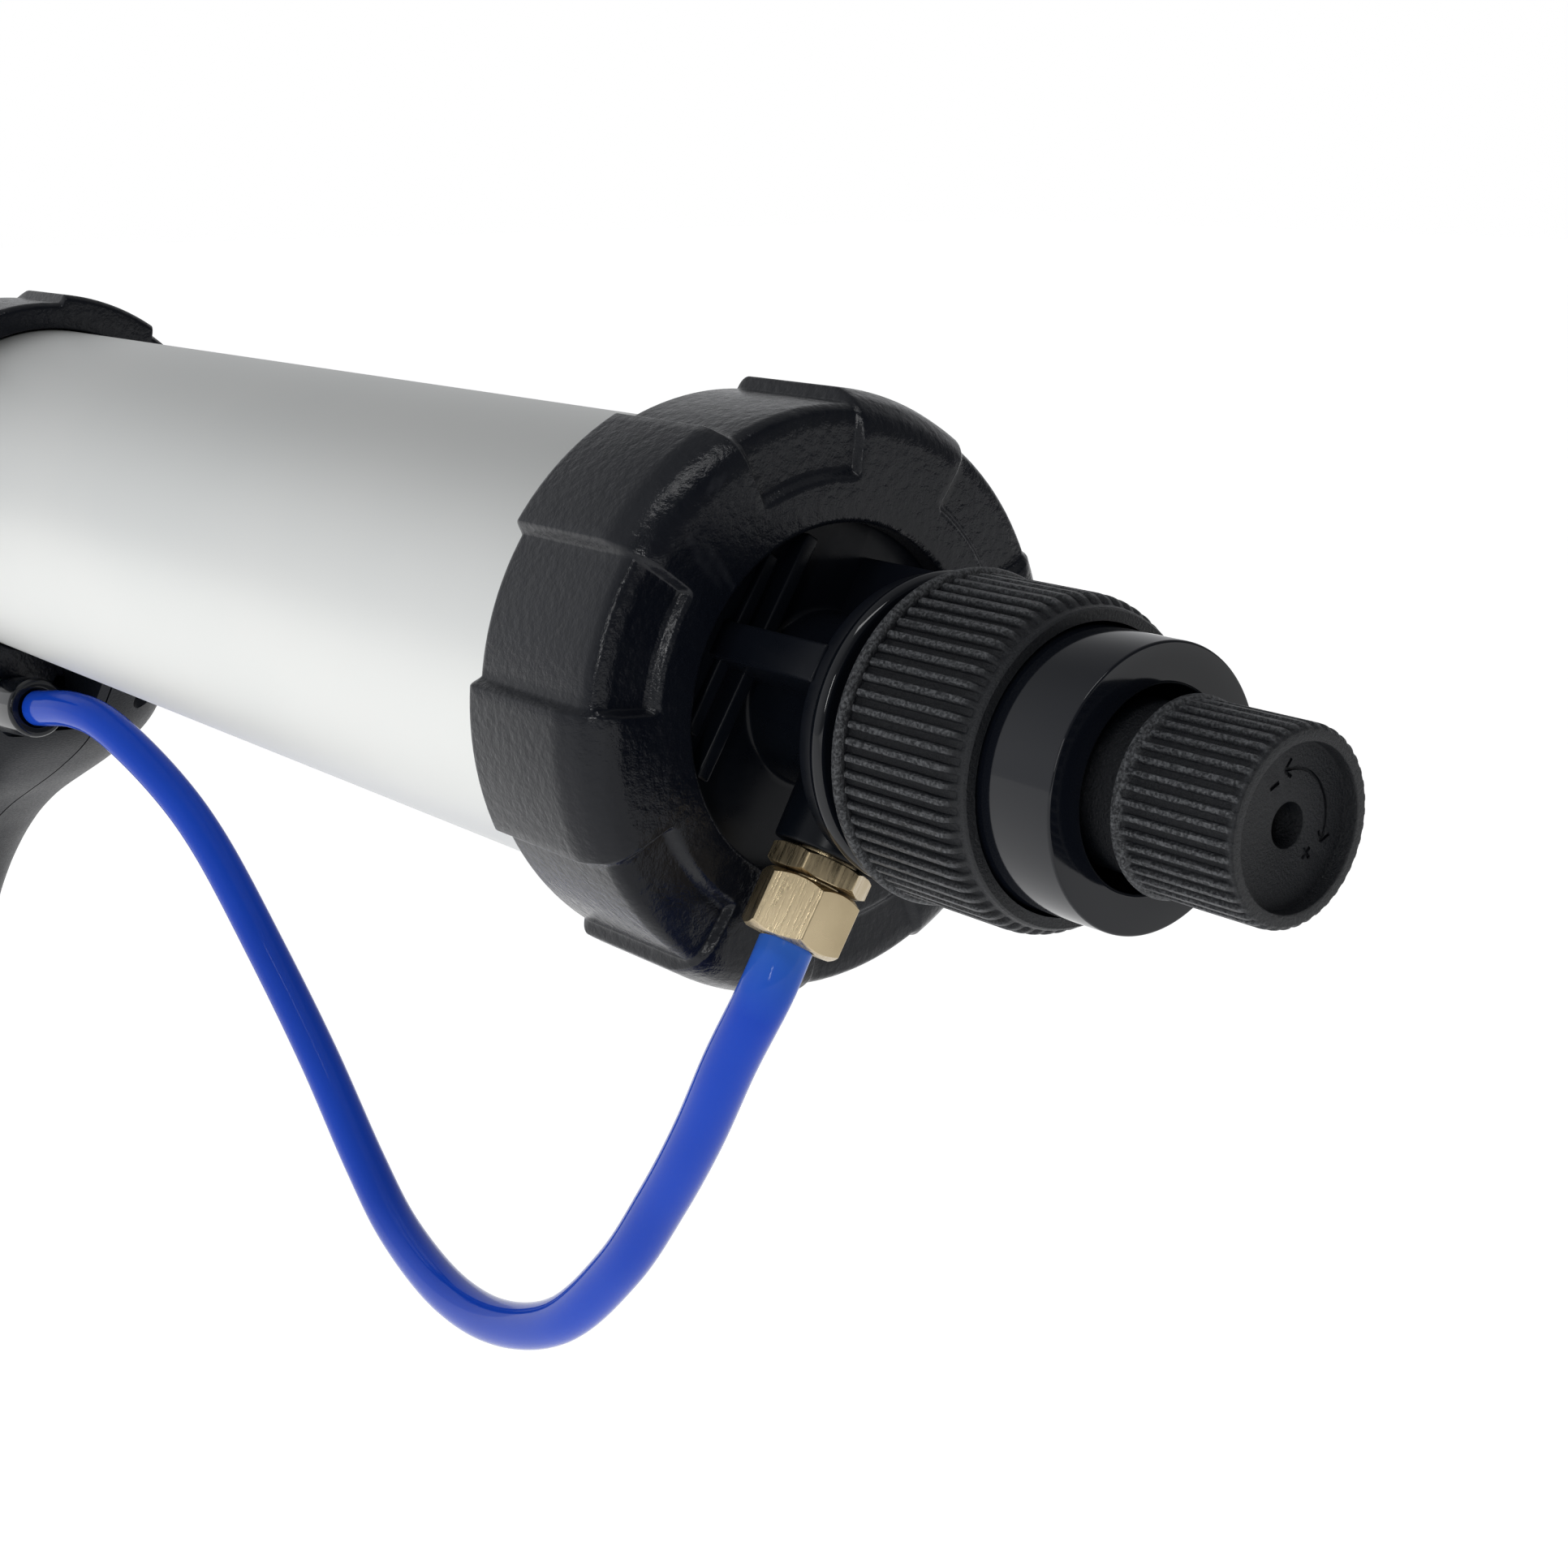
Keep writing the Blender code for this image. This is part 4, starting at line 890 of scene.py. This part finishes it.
# ---------------------------------------------------------------- front end
plate = turned("nozzle_plate_moulding", rounded([
    (2.0, 10.6), (2.0, 25.2), (1.6, 25.6), (0.0, 25.6), (0.0, 28.5), (-6.0, 28.5), (-6.0, 13.2),
    (-18.7, 13.2), (-18.7, 10.6)], 0.3), MOULD, 144, (PLATE_S, 0.0, 0.0))
place(plate, "front_cap", "textured_black", "nozzle_plate")


NOZZLE_FLUTES = 24


def nozzle_rule(t, ang, r):
    """Gripping flutes around the nozzle's wide end."""
    if -19.2 < t < -7.7 and r > 15.0:
        return r - 0.5 * (1.0 - ridge(ang, NOZZLE_FLUTES, 0.3))
    return r


nozzle_side = rounded([
    (-6.7, 13.6), (-6.7, 16.8), (-7.9, 16.8), (-12.7, 16.8), (-19.0, 16.8), (-20.2, 16.8), (-28.7, 13.0, 2.0),
    (-124.7, 3.4), (-124.7, 2.0), (-29.7, 11.0), (-19.7, 13.6)], 0.3)
cone = turned("nozzle_cone", nozzle_side, NYLON, NOZZLE_FLUTES * 10, (PLATE_S, 0.0, 0.0),
              radius_at=nozzle_rule)
place(cone, "front_cap", "nozzle_orange", "nozzle")

# ---------------------------------------------------------------- finishes of the other CAD pieces
FINISHES = (
    (RUBBER, ("bulkhead_o_ring", "piston_o_ring", "head_o_ring", "valve_seat", "front_lip_seal",
              "rear_lip_seal")),
    (STEEL, ("regulator_spring", "poppet_spring", "valve_spring", "spring_button", "regulator_spindle",
             "valve_stem", "piston_rod", "rod_nut", "saddle_screw_1", "saddle_screw_2", "saddle_screw_3",
             "saddle_screw_4")),
    (MOULD, ("cylinder_head", "piston", "outlet_pipe", "inlet_pipe")),
    (HANDLE, ("push_plate",)),
    (BRASS, ("sensing_piston", "regulator_poppet", "valve_body", "valve_cap")))
for material, names in FINISHES:
    for name in names:
        NODES[name].data.materials.clear()
        NODES[name].data.materials.append(material)

# ---------------------------------------------------------------- floor and light
def eased(tree, value, low, high, start, end):
    """A remap from start..end to low..high that eases in and out."""
    result = remap(tree, value, low, high, start, end)
    result.node.interpolation_type = "SMOOTHSTEP"
    return result


FLOOR_Z = -0.26
FLOOR_HALF = 9
floor_corners = [(x * FLOOR_HALF, y * FLOOR_HALF, FLOOR_Z) for x, y in ((-1, -1), (1, -1), (1, 1), (-1, 1))]
floor_mesh = bpy.data.meshes.new("floor")
floor_mesh.from_pydata(floor_corners, [], [(0, 1, 2, 3)])
floor = bpy.data.objects.new("floor", floor_mesh)
scene.collection.objects.link(floor)
paper, paper_tree, paper_shader, paper_coords = new_material("white_paper")
paper_fine = noise(paper_tree, paper_coords, 40.0)
paper_tree.links.new(blend_colours(paper_tree, paper_fine, (0.50, 0.50, 0.50), (0.53, 0.53, 0.53)),
                     paper_shader.inputs["Base Color"])
paper_shader.inputs["Roughness"].default_value = 0.9
paper_at = paper_tree.nodes.new("ShaderNodeSeparateXYZ")
paper_tree.links.new(paper_coords.outputs["Object"], paper_at.inputs["Vector"])
# The paper gives off light, so that it stays white from the camera and darkens behind the gun.
behind = arithmetic(paper_tree, "ADD", eased(paper_tree, paper_at.outputs["X"], 1.0, 0.80, 0.35, 1.0),
                    eased(paper_tree, paper_at.outputs["X"], 0.0, 0.40, 1.3, 2.8))
sideways = eased(paper_tree, paper_at.outputs["Y"], 1.05, 0.80, -0.45, 0.25)
glow = arithmetic(paper_tree, "MULTIPLY", sideways, behind)
paper_shader.inputs["Emission Color"].default_value = (1.0, 1.0, 1.0, 1.0)
paper_tree.links.new(glow, paper_shader.inputs["Emission Strength"])
floor_mesh.materials.append(paper)

world = bpy.data.worlds.new("studio")
scene.world = world
world.use_nodes = True
sky = world.node_tree
background = sky.nodes["Background"]
direction = sky.nodes.new("ShaderNodeTexCoord")
split = sky.nodes.new("ShaderNodeSeparateXYZ")
sky.links.new(direction.outputs["Generated"], split.inputs["Vector"])
facing = eased(sky, split.outputs["Y"], 0.98, 0.62, -0.60, 0.15)
above = eased(sky, split.outputs["Z"], 0.0, -0.28, 0.20, 0.75)
rear = eased(sky, split.outputs["X"], 1.0, 0.30, -0.15, 0.60)
level = arithmetic(sky, "MULTIPLY", arithmetic(sky, "ADD", facing, above), rear)
tint = sky.nodes.new("ShaderNodeCombineColor")
for channel, share in (("Red", 0.99), ("Green", 1.0), ("Blue", 1.02)):
    sky.links.new(arithmetic(sky, "MULTIPLY", level, share), tint.inputs[channel])
path = sky.nodes.new("ShaderNodeLightPath")
sky.links.new(blend_colours(sky, path.outputs["Is Camera Ray"], tint.outputs["Color"], (1.0, 1.0, 1.0)),
              background.inputs["Color"])
background.inputs["Strength"].default_value = 1.0


def soft_light(name, place_at, target, size, power):
    data = bpy.data.lights.new(name, "AREA")
    data.shape = "RECTANGLE"
    data.size, data.size_y = size
    data.energy = power
    lamp = bpy.data.objects.new(name, data)
    scene.collection.objects.link(lamp)
    lamp.location = place_at
    lamp.rotation_mode = "QUATERNION"
    lamp.rotation_quaternion = (Vector(target) - Vector(place_at)).to_track_quat("-Z", "Y")


LIT_POINT = (0.30, 0.0, 0.1)
soft_light("front", (1.05, -0.95, 0.55), LIT_POINT, (0.10, 0.45), 2.6)
soft_light("key", (0.65, -0.30, 1.5), LIT_POINT, (0.9, 0.22), 4.0)

scene.view_settings.view_transform = "Standard"
